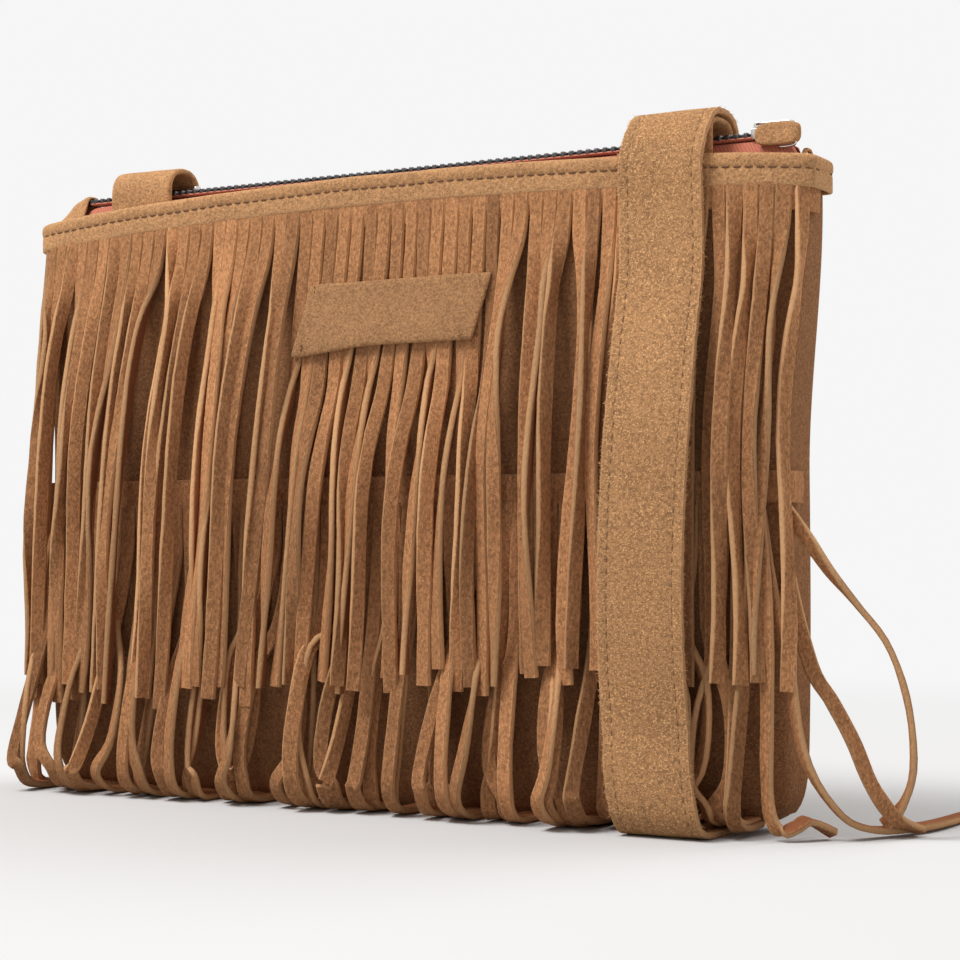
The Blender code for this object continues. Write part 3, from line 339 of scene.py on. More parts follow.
def add_piece(name, bm, skin, body, stands_for=(), sharp=50.0):
    """Turn a bmesh into a piece of the bag that rides on a body and stands for CAD nodes."""
    if bm.verts.layers.float_color.get("strip") is None:
        layer = bm.verts.layers.float_color.new("strip")
        for vert in bm.verts:
            vert[layer] = PLAIN
    bmesh.ops.recalc_face_normals(bm, faces=bm.faces)
    mesh = bpy.data.meshes.new(name)
    bm.to_mesh(mesh)
    bm.free()
    mesh.shade_smooth()
    mesh.set_sharp_from_angle(angle=math.radians(sharp))
    mesh.materials.append(finish(skin))
    obj = new_object(name, mesh)
    if body:
        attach(obj, body)
    if stands_for:
        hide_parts(*stands_for)
    return obj


def frame_copy(node, longest=None, levels=1):
    """A merged copy of a CAD node's mesh, with its long faces cut up and its edges softened."""
    bm = bmesh.new()
    bm.from_mesh(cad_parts[node].data)
    bmesh.ops.remove_doubles(bm, verts=bm.verts, dist=1e-6)
    bmesh.ops.join_triangles(bm, faces=bm.faces, angle_face_threshold=math.radians(50),
                             angle_shape_threshold=math.radians(50))
    for _ in range(4 if longest else 0):
        far = [e for e in bm.edges if e.calc_length() > longest]
        if not far:
            break
        bmesh.ops.subdivide_edges(bm, edges=far, cuts=1, use_grid_fill=True)
    mesh = bpy.data.meshes.new("soft")
    bm.to_mesh(mesh)
    bm.free()
    holder = new_object("soft", mesh)
    soft = holder.modifiers.new("soft", "SUBSURF")
    soft.levels = levels
    soft.render_levels = levels
    done = bpy.data.meshes.new_from_object(holder.evaluated_get(bpy.context.evaluated_depsgraph_get()))
    bpy.data.objects.remove(holder)
    bm = bmesh.new()
    bm.from_mesh(done)
    return bm


def ripple(bm, size, amount):
    """Move a soft piece's points by slow noise, as worn suede does, and the same way in every run."""
    noise.seed_set(RIPPLE_SEED)
    for vert in bm.verts:
        vert.co += noise.noise_vector(vert.co / size) * amount


def add_stitches(bm, points, outs, length, radius):
    """Thread stitches along a line: each lies between two points of it, on the surface."""
    strips = []
    for a, b, out in zip(points, points[1:], outs):
        middle = (a + b) / 2
        along = (b - a).normalized()
        side = out.cross(along).normalized()
        up = along.cross(side)
        rings = []
        for place, girth, lift in STITCH:
            centre = middle + along * (place * length / 2) + up * (lift * radius)
            ring = []
            for k in range(6):
                turn = math.tau * k / 6
                reach = (side * math.cos(turn) + up * math.sin(turn)) * (girth * radius)
                ring.append((centre + reach, PLAIN))
            rings.append(ring)
        strips.append(rings)
    extrude_strips(bm, strips)


# Materials

def plug(tree, node, inputs):
    """Set a node's inputs, by name or number, and link the ones that are sockets."""
    for key, value in inputs.items():
        if isinstance(value, bpy.types.NodeSocket):
            tree.links.new(value, node.inputs[key])
        else:
            node.inputs[key].default_value = value


def wire(tree, kind, inputs, **options):
    """Add a node, set its options and fill its inputs."""
    node = tree.nodes.new(kind)
    for key, value in options.items():
        setattr(node, key, value)
    plug(tree, node, inputs)
    return node


def new_material(name):
    """A material, its nodes, its shader and the place on the object that it is read at."""
    made = bpy.data.materials.new(name)
    made.use_nodes = True
    tree = made.node_tree
    return made, tree, tree.nodes["Principled BSDF"], wire(tree, "ShaderNodeTexCoord", {}).outputs["Object"]


def scaled_place(tree, place, scale):
    """The place, stretched or squeezed along its axes."""
    return wire(tree, "ShaderNodeMapping", {"Vector": place, "Scale": scale}).outputs[0]


def math_node(tree, operation, a, b, c=0.0, clamp=False):
    """The result of one sum in a material."""
    return wire(tree, "ShaderNodeMath", {0: a, 1: b, 2: c}, operation=operation, use_clamp=clamp).outputs[0]


def mix_colour(tree, factor, a, b):
    """One colour mixed into another in a material."""
    return wire(tree, "ShaderNodeMix", {0: factor, 6: a, 7: b}, data_type="RGBA").outputs[2]


def mix_shader(tree, factor, a, b, output):
    """One shader or background mixed into another, linked to the material's or the world's output."""
    both = wire(tree, "ShaderNodeMixShader", {"Fac": factor, 1: a, 2: b}).outputs[0]
    plug(tree, tree.nodes[output], {"Surface": both})


def step_node(tree, value, low, high):
    """A smooth step in a material, from 0 at one value to 1 at another."""
    return wire(tree, "ShaderNodeMapRange", {"Value": value, "From Min": low, "From Max": high},
                interpolation_type="SMOOTHSTEP").outputs[0]


def noise_at(tree, place, scale, detail, roughness=0.6):
    """Noise in a material, from 0 to 1."""
    return wire(tree, "ShaderNodeTexNoise", {"Vector": place, "Scale": scale, "Detail": detail,
                                             "Roughness": roughness}).outputs["Fac"]


def bump_node(tree, height, strength, distance):
    """Relief for a shader's normal."""
    return wire(tree, "ShaderNodeBump", {"Height": height, "Strength": strength,
                                         "Distance": distance}).outputs[0]


def suede_material(name, colour, nap, raw=None, grain=None, fibre=1.0):
    """Napped suede: speckled and brushed, paler at its raw edges and smoother on its grain side."""
    look = bpy.context.scene.bag_suede
    made, tree, shader, place = new_material(name)
    brushed = scaled_place(tree, place, (1.0, 1.0, 1.0 / fibre))
    fine = noise_at(tree, brushed, look.nap_scale * (1.25 - 0.25 * nap), 3.0, 0.7)
    speck = noise_at(tree, brushed, look.nap_scale * 0.42, 2.0)
    cloud = noise_at(tree, place, look.nap_scale * 0.05, 3.0, 0.55)
    hair = noise_at(tree, brushed, look.nap_scale * 1.9, 2.0)
    mottle = math_node(tree, "MULTIPLY_ADD", fine, 0.74, math_node(tree, "MULTIPLY", speck, 0.12))
    mottle = math_node(tree, "MULTIPLY_ADD", cloud, 0.14, mottle)
    ramp = wire(tree, "ShaderNodeValToRGB", {"Fac": mottle})
    stops = ramp.color_ramp.elements
    stops[0].position = 0.40
    stops[0].color = shaded(colour, look.dark_share)
    stops[1].position = 0.66
    stops[1].color = shaded(colour, look.light_share)
    stops.new(0.52).color = shaded(colour)
    strip = wire(tree, "ShaderNodeAttribute", {}, attribute_name="strip").outputs["Color"]
    parts = wire(tree, "ShaderNodeSeparateColor", {"Color": strip}).outputs
    fleck = math_node(tree, "MULTIPLY", step_node(tree, hair, 0.56, 0.70), 0.8 * nap)
    tint = mix_colour(tree, fleck, ramp.outputs["Color"], shaded(colour, look.fleck_share))
    if grain:
        tint = mix_colour(tree, math_node(tree, "MULTIPLY", parts["Blue"], 0.9), tint, shaded(grain))
    if raw:
        edge = math_node(tree, "MULTIPLY_ADD", parts["Green"], 1.1,
                         math_node(tree, "MULTIPLY_ADD", fine, 0.8, -0.55), clamp=True)
        tint = mix_colour(tree, edge, tint, shaded(raw))
    tone = math_node(tree, "MULTIPLY_ADD", parts["Red"], 0.7, 0.65)
    height = math_node(tree, "MULTIPLY_ADD", hair, 0.5, fine)
    plug(tree, shader, {
        "Base Color": wire(tree, "ShaderNodeHueSaturation", {"Color": tint, "Value": tone}).outputs[0],
        "Normal": bump_node(tree, height, 0.75, 0.0005),
        "Roughness": 0.95,
        "Specular IOR Level": 0.12,
        "Sheen Weight": 0.22,
        "Sheen Roughness": 0.45,
        "Sheen Tint": shaded(colour, 2.2),
    })
    return made


def thread_material(name, colour):
    """Twisted sewing thread."""
    made, tree, shader, place = new_material(name)
    twist = noise_at(tree, place, 2200.0, 1.0)
    plug(tree, shader, {"Base Color": mix_colour(tree, twist, shaded(colour, 0.7), shaded(colour, 1.3)),
                        "Roughness": 0.7})
    return made


def cloth_material(name, colour):
    """Woven zip tape: a fine diagonal twill."""
    made, tree, shader, place = new_material(name)
    turned = wire(tree, "ShaderNodeMapping", {"Vector": place, "Rotation": (0.0, math.radians(35), 0.0)})
    twill = wire(tree, "ShaderNodeTexWave", {"Vector": turned.outputs[0], "Scale": 320.0, "Distortion": 1.2,
                                             "Detail": 1.0}).outputs["Fac"]
    rough = noise_at(tree, place, 900.0, 3.0)
    shade = math_node(tree, "MULTIPLY_ADD", rough, 0.5, math_node(tree, "MULTIPLY", twill, 0.5))
    plug(tree, shader, {"Base Color": mix_colour(tree, shade, shaded(colour, 0.72), shaded(colour, 1.25)),
                        "Normal": bump_node(tree, shade, 0.6, 0.0003),
                        "Roughness": 0.85,
                        "Sheen Weight": 0.15})
    return made


def metal_material(name, colour, roughness, wear):
    """Plated metal with faint scratches and uneven polish."""
    made, tree, shader, place = new_material(name)
    scratch = noise_at(tree, scaled_place(tree, place, (0.3, 1.0, 1.0)), 1400.0, 4.0)
    patina = math_node(tree, "MULTIPLY", noise_at(tree, place, 180.0, 3.0), wear)
    plug(tree, shader, {"Base Color": mix_colour(tree, patina, shaded(colour), shaded(colour, 0.55)),
                        "Normal": bump_node(tree, scratch, 0.12, 0.0001),
                        "Roughness": math_node(tree, "MULTIPLY_ADD", scratch, 0.22, roughness - 0.08),
                        "Metallic": 1.0})
    return made


def finish(name):
    """One of the bag's materials, made when a piece first needs it."""
    look = bpy.context.scene.bag_suede
    metal = bpy.context.scene.bag_metal
    raw = tuple(look.raw_edge)
    grain = tuple(look.grain_side)
    recipes = {
        "trim_suede": lambda: suede_material(name, look.tan, 0.6, raw),
        "strap_suede": lambda: suede_material(name, look.strap, 1.2, raw, grain),
        # The panels' suede is the brown darkened to 0.66: painted shade, standing in for the shade that falls
        # on the panels behind the fringe
        "panel_suede_painted_shade": lambda: suede_material(name, [c * 0.66 for c in look.brown], 0.8, raw),
        "fringe_suede": lambda: suede_material(name, look.brown, 0.6, raw, grain, fibre=1.7),
        "patch_suede": lambda: suede_material(name, [c * 0.80 for c in look.tan], 0.4, raw),
        "sewing_thread": lambda: thread_material(name, look.thread),
        "pale_thread": lambda: thread_material(name, [c * 0.62 for c in look.strap]),
        "tape_twill": lambda: cloth_material(name, metal.tape),
        "gunmetal_plate": lambda: metal_material(name, metal.teeth, 0.38, 0.7),
        "nickel_plate": lambda: metal_material(name, metal.bright, 0.17, 0.25),
    }
    return bpy.data.materials.get(name) or recipes[name]()


# Settings that a user would change

def colour_setting(name, text, *screen):
    """A colour, its default given as it shows on a screen."""
    return FloatVectorProperty(name=name, description=text, subtype="COLOR", size=3, min=0.0, max=1.0,
                               default=linear(*screen))


def number_setting(name, text, value, low, high, unit="NONE"):
    """A number, its default and its limits."""
    return FloatProperty(name=name, description=text, default=value, min=low, max=high, unit=unit)


def length_setting(name, text, value, low, high):
    """A length in metres, its default and its limits."""
    return number_setting(name, text, value, low, high, "LENGTH")


class BagSuede(bpy.types.PropertyGroup):
    """Colours and nap of the suede."""
    tan: colour_setting("Tan suede", "Suede of the band, patch and tabs", 195, 145, 101)
    strap: colour_setting("Strap suede", "Paler suede of the strap", 191, 142, 98)
    brown: colour_setting("Brown suede", "Suede of the panels and the fringe", 181, 127, 86)
    raw_edge: colour_setting("Raw edge", "Cut edges, where the fibres show", 214, 166, 120)
    grain_side: colour_setting("Grain side", "The strands' smoother back", 150, 92, 60)
    thread: colour_setting("Thread", "Sewing thread", 112, 74, 46)
    nap_scale: number_setting("Nap scale", "Fineness of the nap, in waves a metre", 950.0, 100.0, 4000.0)
    dark_share: number_setting("Dark share", "Darkness of the nap's dark specks", 0.66, 0.0, 1.0)
    light_share: number_setting("Light share", "Brightness of the nap's light specks", 1.30, 1.0, 2.0)
    fleck_share: number_setting("Fleck share", "Brightness of the loose pale fibres", 2.1, 1.0, 4.0)


class BagFringe(bpy.types.PropertyGroup):
    """Sizes of the fringe."""
    strand_width: length_setting("Strand width", "Width of one strand", 0.0050, 0.001, 0.02)
    strand_thickness: length_setting("Strand thickness", "Thickness of the suede", 0.0020, 0.0005, 0.004)
    pitch: length_setting("Strand pitch", "From strand to strand at the header", 0.0053, 0.002, 0.03)
    rings: IntProperty(name="Rings", description="Cuts along each strand", default=34, min=8, max=80)


class BagSewing(bpy.types.PropertyGroup):
    """Sizes of the stitches."""
    pitch: length_setting("Stitch pitch", "From stitch to stitch", 0.0038, 0.001, 0.01)
    thread: length_setting("Thread radius", "Half the thread's thickness", 0.00035, 0.0001, 0.001)
    edge: length_setting("Seam margin", "From the strap's edge to its seam", 0.0034, 0.001, 0.01)


class BagMetal(bpy.types.PropertyGroup):
    """Colours of the zip and the rings."""
    tape: colour_setting("Zip tape", "Woven tape", 200, 116, 88)
    teeth: colour_setting("Teeth", "Gunmetal teeth", 96, 92, 92)
    bright: colour_setting("Nickel", "Slider, pull and rings", 214, 210, 206)


class BagStage(bpy.types.PropertyGroup):
    """Camera, floor and light."""
    azimuth: number_setting("Azimuth", "Camera's turn to the right of the front", math.radians(32.0),
                            -math.pi, math.pi, "ROTATION")
    distance: length_setting("Distance", "Camera's distance from the bag's middle", 0.740, 0.2, 5.0)
    height: length_setting("Height", "Camera's height above the floor", 0.090, 0.0, 2.0)
    lens: number_setting("Lens", "Focal length, in millimetres", 80.5, 10.0, 300.0)
    aim_right: number_setting("Aim right", "How far right of the middle it aims", 0.0370, -1.0, 1.0)
    aim_up: number_setting("Aim up", "How far above its own height it aims", 0.0290, -1.0, 1.0)
    paper: colour_setting("Background", "Colour of the floor and backdrop", 246, 246, 246)
    key: number_setting("Key lamp", "Power of the soft lamp at the left", 25.0, 0.0, 200.0, "POWER")
    fill: number_setting("Sky", "Strength of the light all round", 0.40, 0.0, 5.0)


# Panels and bands

class BAG_OT_panels(bpy.types.Operator):
    """Build the front panel, which turns under as the sole, and the back panel"""
    bl_idname = "bag.panels"
    bl_label = "Panels"

    def execute(self, context):
        for name, node, side, foot in (("panel_front", "front_panel", -1, -1.0),
                                       ("panel_back", "back_panel", 1, 0.0)):
            bm = bmesh.new()
            bmesh.ops.create_grid(bm, x_segments=150, y_segments=70, size=1.0)
            for vert in bm.verts:
                vert.co = panel_place(vert.co.x, vert.co.y, side, foot)
            bmesh.ops.recalc_face_normals(bm, faces=bm.faces)
            front = Vector((0.0, side * BULGE_HALF_DEPTH, 0.1))
            nearest = min(bm.faces, key=lambda face: (face.calc_center_median() - front).length)
            if nearest.normal.y * side < 0:
                bmesh.ops.reverse_faces(bm, faces=bm.faces)
            bmesh.ops.solidify(bm, geom=bm.faces[:], thickness=SUEDE)
            # The panels take the darkened suede, whose darkness is painted shade
            add_piece(name, bm, "panel_suede_painted_shade", "root", [node])
        return {"FINISHED"}


def panel_place(u, v, side, foot):
    """A panel's point: u runs from seam to seam, v from the rim (1) to the foot (-1)."""
    top = RIM_HEIGHT - 0.0016
    angle = math.pi / 2 + math.copysign(abs(u) ** 0.72, u) * math.pi / 2
    run = (1.0 - v) / 2
    wall = 0.86 if foot < 0 else 1.0
    if run <= wall:
        share = run / wall
        low = 0.0006 if foot < 0 else 0.0050
        z = top + (low - top) * share ** 0.94
        x, depth = pouch_point(angle, z)
    else:
        z = 0.0
        x, depth = pouch_point(angle, z)
        depth *= 1.0 - 1.96 * (run - wall) / (1.0 - wall)
        depth = max(depth, -SOLE_HALF_DEPTH * 0.96)
    lift = strap_lift(x) * (1.0 - ease(z / 0.030))
    place = Vector((x, side * depth, crowned(x, z) + lift + 0.0002))
    fade = ease(z / 0.03) * ease((top - z) / 0.03) * ease((half_width(z) - abs(x)) / 0.02)
    swell = noise.noise(place * 22.0 + Vector((side * 3.1, 0, 0)))
    swell += 0.4 * noise.noise(place * 60.0)
    place.y += side * swell * 0.0011 * fade
    return place


def band_ring(angle, side, outline):
    """One cut of the band, from its outline of distance out and drop below its top edge."""
    ring = []
    for out, drop, edge in outline:
        x, depth = pouch_point(angle, RIM_HEIGHT - BAND_HEIGHT * 0.5, out)
        wave = noise.noise(Vector((x * 45.0, side * 2.0, drop * 90.0))) * 0.00022
        place = Vector((x, side * (depth + wave), rim_height(x) - drop + wave))
        ring.append((place, (0.55, edge, 0.0, 0.0)))
    return ring


class BAG_OT_bands(bpy.types.Operator):
    """Build the stitched bands along the opening, each with its rolled top and its seam"""
    bl_idname = "bag.bands"
    bl_label = "Bands"

    def execute(self, context):
        sewing = context.scene.bag_sewing
        lip = -0.0008
        seam = 0.0043
        outline = [
            (lip, 0.0010, 0.2), (lip, 0.0002, 0.2), (0.0004, -0.0003, 0.1), (0.0020, -0.0002, 0.3),
            (0.0028, 0.0004, 0.3), (0.0031, 0.0014, 0.0), (0.0031, 0.0030, 0.0),
            (0.0029, seam - 0.0005, 0.0), (0.00265, seam, 0.0), (0.00285, seam + 0.0005, 0.0),
            (0.0029, 0.0062, 0.0), (0.0029, 0.0085, 0.1), (0.0029, 0.0097, 0.6),
            (0.0026, 0.0101, 1.0), (0.0018, 0.0100, 0.8), (0.0016, 0.0060, 0.0), (0.0016, 0.0016, 0.0),
        ]
        angles = [math.pi * (0.5 - 0.5 * math.cos(math.pi * k / 150)) for k in range(151)]
        angles = [math.acos(math.copysign(abs(math.cos(a)) ** 3, math.cos(a))) for a in angles]
        for name, node, side in (("band_roll_front", "band_front", -1), ("band_roll_back", "band_back", 1)):
            bm = bmesh.new()
            extrude_strips(bm, [[band_ring(a, side, outline) for a in angles]])
            add_piece(name, bm, "trim_suede", "root", [node], sharp=70.0)
            marks = [tuple(band_ring(a, side, [(0.0027, seam, 0.0)])[0][0]) for a in angles]
            line = [Vector(p) for p in even_line(marks, sewing.pitch)][1:-1]
            stitches = bmesh.new()
            add_stitches(stitches, line, [Vector((0.0, side, 0.0))] * len(line), sewing.pitch * 0.78,
                         sewing.thread)
            add_piece(name + "_seam", stitches, "sewing_thread", "root")
        return {"FINISHED"}


# Fringe

def strand_rings(size, path, turns, girth, tone, wide_at=X_AXIS):
    """Rings of one strand from its path, its turn at each point and its width's first direction."""
    line = smooth_line([(*p, t) for p, t in zip(path, turns)], size.rings)
    points = [Vector(p[:3]) for p in line]
    rings = []
    for k, point in enumerate(points):
        share = k / (len(points) - 1)
        along = (points[max(k - 1, 0)] - points[min(k + 1, len(points) - 1)]).normalized()
        across = wide_at.lerp(X_AXIS, ease(share * 2.5))
        across = (across - along * across.dot(along)).normalized()
        front = across.cross(along).normalized()
        wide = across * math.cos(line[k][3]) + front * math.sin(line[k][3])
        wander = 1.0 + 0.09 * noise.noise(Vector((point.z * 130.0, tone * 50.0, point.x * 20.0)))
        swell = 1.0 + 0.14 * noise.noise(Vector((tone * 70.0, point.z * 90.0, 0.0)))
        ring = strip_ring(point, along, wide, size.strand_width * girth / 2 * wander,
                          size.strand_thickness / 2 * swell, tone, share)
        rise = Vector((0, 0, max(0.0, 0.0003 - min(place.z for place, _ in ring))))
        rings.append([(place + rise, look) for place, look in ring])
    slant = noise.noise(Vector((tone * 91.0, 3.0, points[0].x * 40.0))) * 0.35
    last = rings[-1]
    middle = sum((place for place, _ in last), Vector()) / len(last)
    along = (points[-1] - points[-2]).normalized()
    side = (last[6][0] - last[0][0]).cross(along).normalized()
    rings[-1] = [(place + along * ((place - middle).dot(side) * slant), look) for place, look in last]
    return rings


def clumps(roots, draw, sizes):
    """Gather roots in clumps: each root, its clump's middle X and its place in the clump."""
    gathered = []
    while len(gathered) < len(roots):
        first = len(gathered)
        size = min(draw.choice(sizes), len(roots) - first)
        middle = roots[min(int(first + (size - 1) / 2 + 0.5), len(roots) - 1)][0]
        gathered += [(roots[first + k], middle, k) for k in range(size)]
    return gathered


def upper_strand(root, middle, place, draw, top, end, held):
    """Path and turns of one upper strand as it hangs from the header."""
    x0, y0, _ = root
    gather = draw.uniform(0.12, 0.42)
    lean = -0.008 * ease((0.085 - x0) / 0.130) * ease((x0 + 0.168) / 0.07) + draw.gauss(0.0, 0.0018)
    layer = (0.0, 0.0019, 0.0007, 0.0026, 0.0012)[place % 5] + draw.uniform(0.0, 0.0012)
    phase = draw.uniform(0.0, math.tau)
    wave = draw.uniform(0.0003, 0.0015)
    kind = draw.random()
    if kind < 0.36:
        twist = draw.uniform(0.75, 1.5)
    elif kind < 0.60:
        twist = -draw.uniform(0.6, 1.4)
    else:
        twist = draw.uniform(-0.5, 0.6)
    begin = draw.uniform(0.03, 0.10) + (0.24 if held else 0.0)
    under_strap = abs(x0 - STRAP_HOLD_X) < STRAP_HOLD
    if under_strap:
        twist *= 0.35
    run = draw.uniform(0.06, 0.18)
    untwist = draw.uniform(0.0, 0.8)
    swing = draw.gauss(0.0, 0.45)
    start = PATCH_FOOT if held else top
    side = ease((abs(x0) - 0.125) / 0.025)
    path = []
    turns = []
    for k in range(11):
        share = k / 10
        z = top + (end - top) * share
        reach = ease((start - z) / 0.060) if held else ease((share - 0.03) / 0.24)
        hold = gather * reach * (1.0 - 0.55 * ease((share - 0.5) / 0.5) * untwist)
        x = x0 + (middle - x0) * hold + lean * share ** 1.4
        x += wave * math.sin(phase + share * 7.5) * ease(share * 4)
        x -= side * math.copysign(0.0015, x0) * ease(share * 2.0)
        off = ease((start - z) / (start - 0.112)) if z < start else 0.0
        out = 0.0012 + 0.0058 * off + layer * reach + abs(math.sin(twist)) * 0.0014 * reach
        out += 0.0012 * math.sin(phase * 1.7 + share * 6.0) * ease(share * 2 - 0.6)
        if under_strap:
            out = 0.0012 + (out - 0.0012) * 0.45
        wall = y0 + (hang_depth(x, z) - hang_depth(x0, crowned(x0, ROOT_LEVEL))) * (1.0 - side * 0.6)
        path.append((x, -(wall + out), z))
        turn = twist * ease((share - begin) / run) * (1.0 - untwist * ease((share - 0.55) / 0.45))
        turns.append(turn + swing * math.sin(share * 9.0 + phase) * ease((share - begin) / 0.2))
    return path, turns


class BAG_OT_upper_fringe(bpy.types.Operator):
    """Cut the upper fringe: a header under the band, and the strands that hang from it in clumps"""
    bl_idname = "bag.upper_fringe"
    bl_label = "Upper fringe"

    def execute(self, context):
        size = context.scene.bag_fringe
        draw = random.Random(12)
        strips = []
        for root, middle, place in clumps(front_walk(ROOT_LEVEL, size.pitch)[1:-1], draw, (2, 3, 3, 4, 4, 5)):
            x0 = root[0]
            top = rim_height(x0) - BAND_HEIGHT + 0.0020
            end = 0.0365 + 0.011 * ease(0.5 + x0 / BAG_WIDTH * 1.6) + draw.gauss(0.0, 0.0030)
            held = abs(x0 - PATCH_X) < PATCH_HOLD
            path, turns = upper_strand(root, middle, place, draw, top, end, held)
            tone = clamp01(draw.gauss(0.50, 0.19) - 0.07 * (place % 2))
            strips.append(strand_rings(size, path, turns, draw.uniform(0.92, 1.06), tone, root_width(root)))
        bm = bmesh.new()
        extrude_strips(bm, strips)
        add_header(bm, ROOT_LEVEL, lambda x: rim_height(x) - BAND_HEIGHT + 0.003,
                   lambda x: rim_height(x) - BAND_HEIGHT - 0.0075, 0.0002)
        add_piece("fringe_upper", bm, "fringe_suede", "root", ["upper_fringe"])
        return {"FINISHED"}


def add_header(bm, level, top_of, bottom_of, out):
    """The uncut top of a fringe strip, as one thin sheet over the panel."""
    rings = []
    for x, depth, ahead in front_walk(level, HEADER_STEP):
        away = Vector((-ahead.y, ahead.x))
        high = top_of(x)
        low = bottom_of(x)
        cut = ((out, high, 0.0), (out + 0.0014, high, 0.3), (out + 0.0016, (high + low) / 2, 0.0),
               (out + 0.0013, low, 0.0), (out, low, 0.0))
        rings.append([(Vector((x + away.x * lift, -depth - away.y * lift, z)), (0.55, edge, 0.0, 0.0))
                      for lift, z, edge in cut])
    extrude_strips(bm, [rings])


def lower_strand(root, middle, place, draw):
    """Path and turns of one lower strand: it bows forward and curls back under at the floor."""
    x0, y0, _ = root
    bow = draw.uniform(0.004, 0.017)
    belly = draw.uniform(0.018, 0.044)
    edge = ease((x0 + 0.150) / 0.03)
    drift = draw.gauss(0.0, 0.0055) * edge - 0.005 * ease((0.085 - x0) / 0.130) * edge
    gather = draw.uniform(0.05, 0.45)
    side = ease((abs(x0) - 0.120) / 0.022)
    wall = hang_depth(x0, BULGE_HEIGHT) * (1.0 - side) + (y0 + 0.004) * side
    floor = 0.0013 + strap_lift(x0)
    back = draw.uniform(0.001, 0.010)
    kink = draw.gauss(0.0, 0.0038) * edge
    pull = (middle - x0) * gather
    deep = 0.0010 + (place % 3) * 0.0014
    if 0.088 < x0 < 0.134:
        bow *= 0.35
    path = [
        (x0, -(y0 + 0.0012), LOWER_ROOT_LEVEL),
        (x0 + pull * 0.3, -(wall + deep), 0.084),
        (x0 + pull * 0.8 + drift * 0.3, -(wall + deep + 0.0012), 0.062),
        (x0 + pull + drift * 0.6 + kink, -(wall + deep + bow * 0.55), belly + 0.010),
        (x0 + pull + drift * 0.8 + kink, -(wall + deep + bow * 0.95), belly * 0.62),
        (x0 + pull * 0.9 + drift * 0.95, -(wall + deep + bow), 0.0095),
        (x0 + pull * 0.8 + drift, -(wall + deep + bow * 0.62), floor + 0.0020),
        (x0 + pull * 0.7 + drift, -(wall + deep + bow * 0.1 - 0.003), floor),
        (x0 + pull * 0.6 + drift, -(wall - 0.007 - back), floor + 0.0004),
    ]
    twist = draw.choice((draw.uniform(-0.5, 0.5), draw.uniform(-0.4, 0.4), draw.uniform(0.6, 1.4),
                         -draw.uniform(0.5, 1.2)))
    hold = draw.uniform(0.3, 1.0)
    turns = [0.0, twist * 0.5, twist * 0.9, twist, twist * hold, twist * hold * 0.7,
             twist * hold * 0.4, twist * 0.15, 0.0]
    return path, turns


def side_strands():
    """Strands at the right end that spill over the side and onto the floor, each with its turns."""
    loop = [(0.1440, -0.0125, 0.103), (0.1530, -0.0135, 0.092), (0.1600, -0.0110, 0.081),
            (0.1668, -0.0060, 0.071), (0.1752, -0.0020, 0.0585), (0.1806, 0.0, 0.041),
            (0.1818, 0.001, 0.022), (0.1780, 0.002, 0.0105), (0.1720, 0.003, 0.0040)]
    floor = [(0.1387, -0.0165, 0.103), (0.1440, -0.0185, 0.075), (0.1490, -0.0185, 0.055),
             (0.1540, -0.0180, 0.026), (0.1625, -0.0120, 0.0090), (0.1690, -0.0020, 0.0030),
             (0.1765, 0.0130, 0.0022), (0.1802, 0.0290, 0.0020), (0.1812, 0.0580, 0.0016)]
    inner = [(0.1420, -0.0100, 0.103), (0.1480, -0.0120, 0.075), (0.1540, -0.0110, 0.052),
             (0.1600, -0.0100, 0.042), (0.1660, -0.0080, 0.030), (0.1700, -0.0050, 0.018),
             (0.1740, -0.0020, 0.010), (0.1770, 0.0030, 0.005), (0.1800, 0.0120, 0.0020)]
    curl = [(0.1400, -0.0190, 0.100), (0.1435, -0.0215, 0.070), (0.1440, -0.0220, 0.040),
            (0.1440, -0.0225, 0.020), (0.1450, -0.0225, 0.0080), (0.1480, -0.0215, 0.0030),
            (0.1520, -0.0190, 0.0045), (0.1545, -0.0150, 0.0060), (0.1600, -0.0090, 0.0020)]
    return [(loop, 1.15), (floor, 0.9), (inner, -0.8), (curl, 0.6)]


class BAG_OT_lower_fringe(bpy.types.Operator):
    """Cut the lower fringe, whose strands reach the floor, bow forward and curl back under"""
    bl_idname = "bag.lower_fringe"
    bl_label = "Lower fringe"

    def execute(self, context):
        size = context.scene.bag_fringe
        draw = random.Random(31)
        roots = front_walk(LOWER_ROOT_LEVEL, size.pitch)[1:-3]
        strips = []
        for root, middle, place in clumps(roots, draw, (1, 2, 3, 3, 4)):
            path, turns = lower_strand(root, middle, place, draw)
            strips.append(strand_rings(size, path, turns, draw.uniform(0.9, 1.05),
                                       clamp01(draw.gauss(0.40, 0.14)), root_width(root)))
        for path, twist in side_strands():
            turns = [twist * ease(k / 4) * ease(p[2] / 0.012) for k, p in enumerate(path)]
            strips.append(strand_rings(size, path, turns, 0.9, 0.55))
        bm = bmesh.new()
        extrude_strips(bm, strips)
        add_header(bm, 0.107, lambda x: LOWER_HEADER_TOP, lambda x: LOWER_HEADER_FOOT, 0.0004)
        add_piece("fringe_lower", bm, "fringe_suede", "root", ["lower_fringe"])
        return {"FINISHED"}


# Patch, tabs and loops

def lift_patch(bm):
    """Let the patch's lower edge stand off the strands, lowest at its left corner."""
    low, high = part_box("label_patch")
    for vert in bm.verts:
        drop = clamp01((high.z - vert.co.z) / (high.z - low.z))
        left = clamp01((high.x - vert.co.x) / (high.x - low.x))
        vert.co.y -= 0.0007 + 0.0016 * ease(drop) * (0.6 + 0.4 * left)
        vert.co.z -= 0.0030 * drop * ease((left - 0.55) / 0.45)


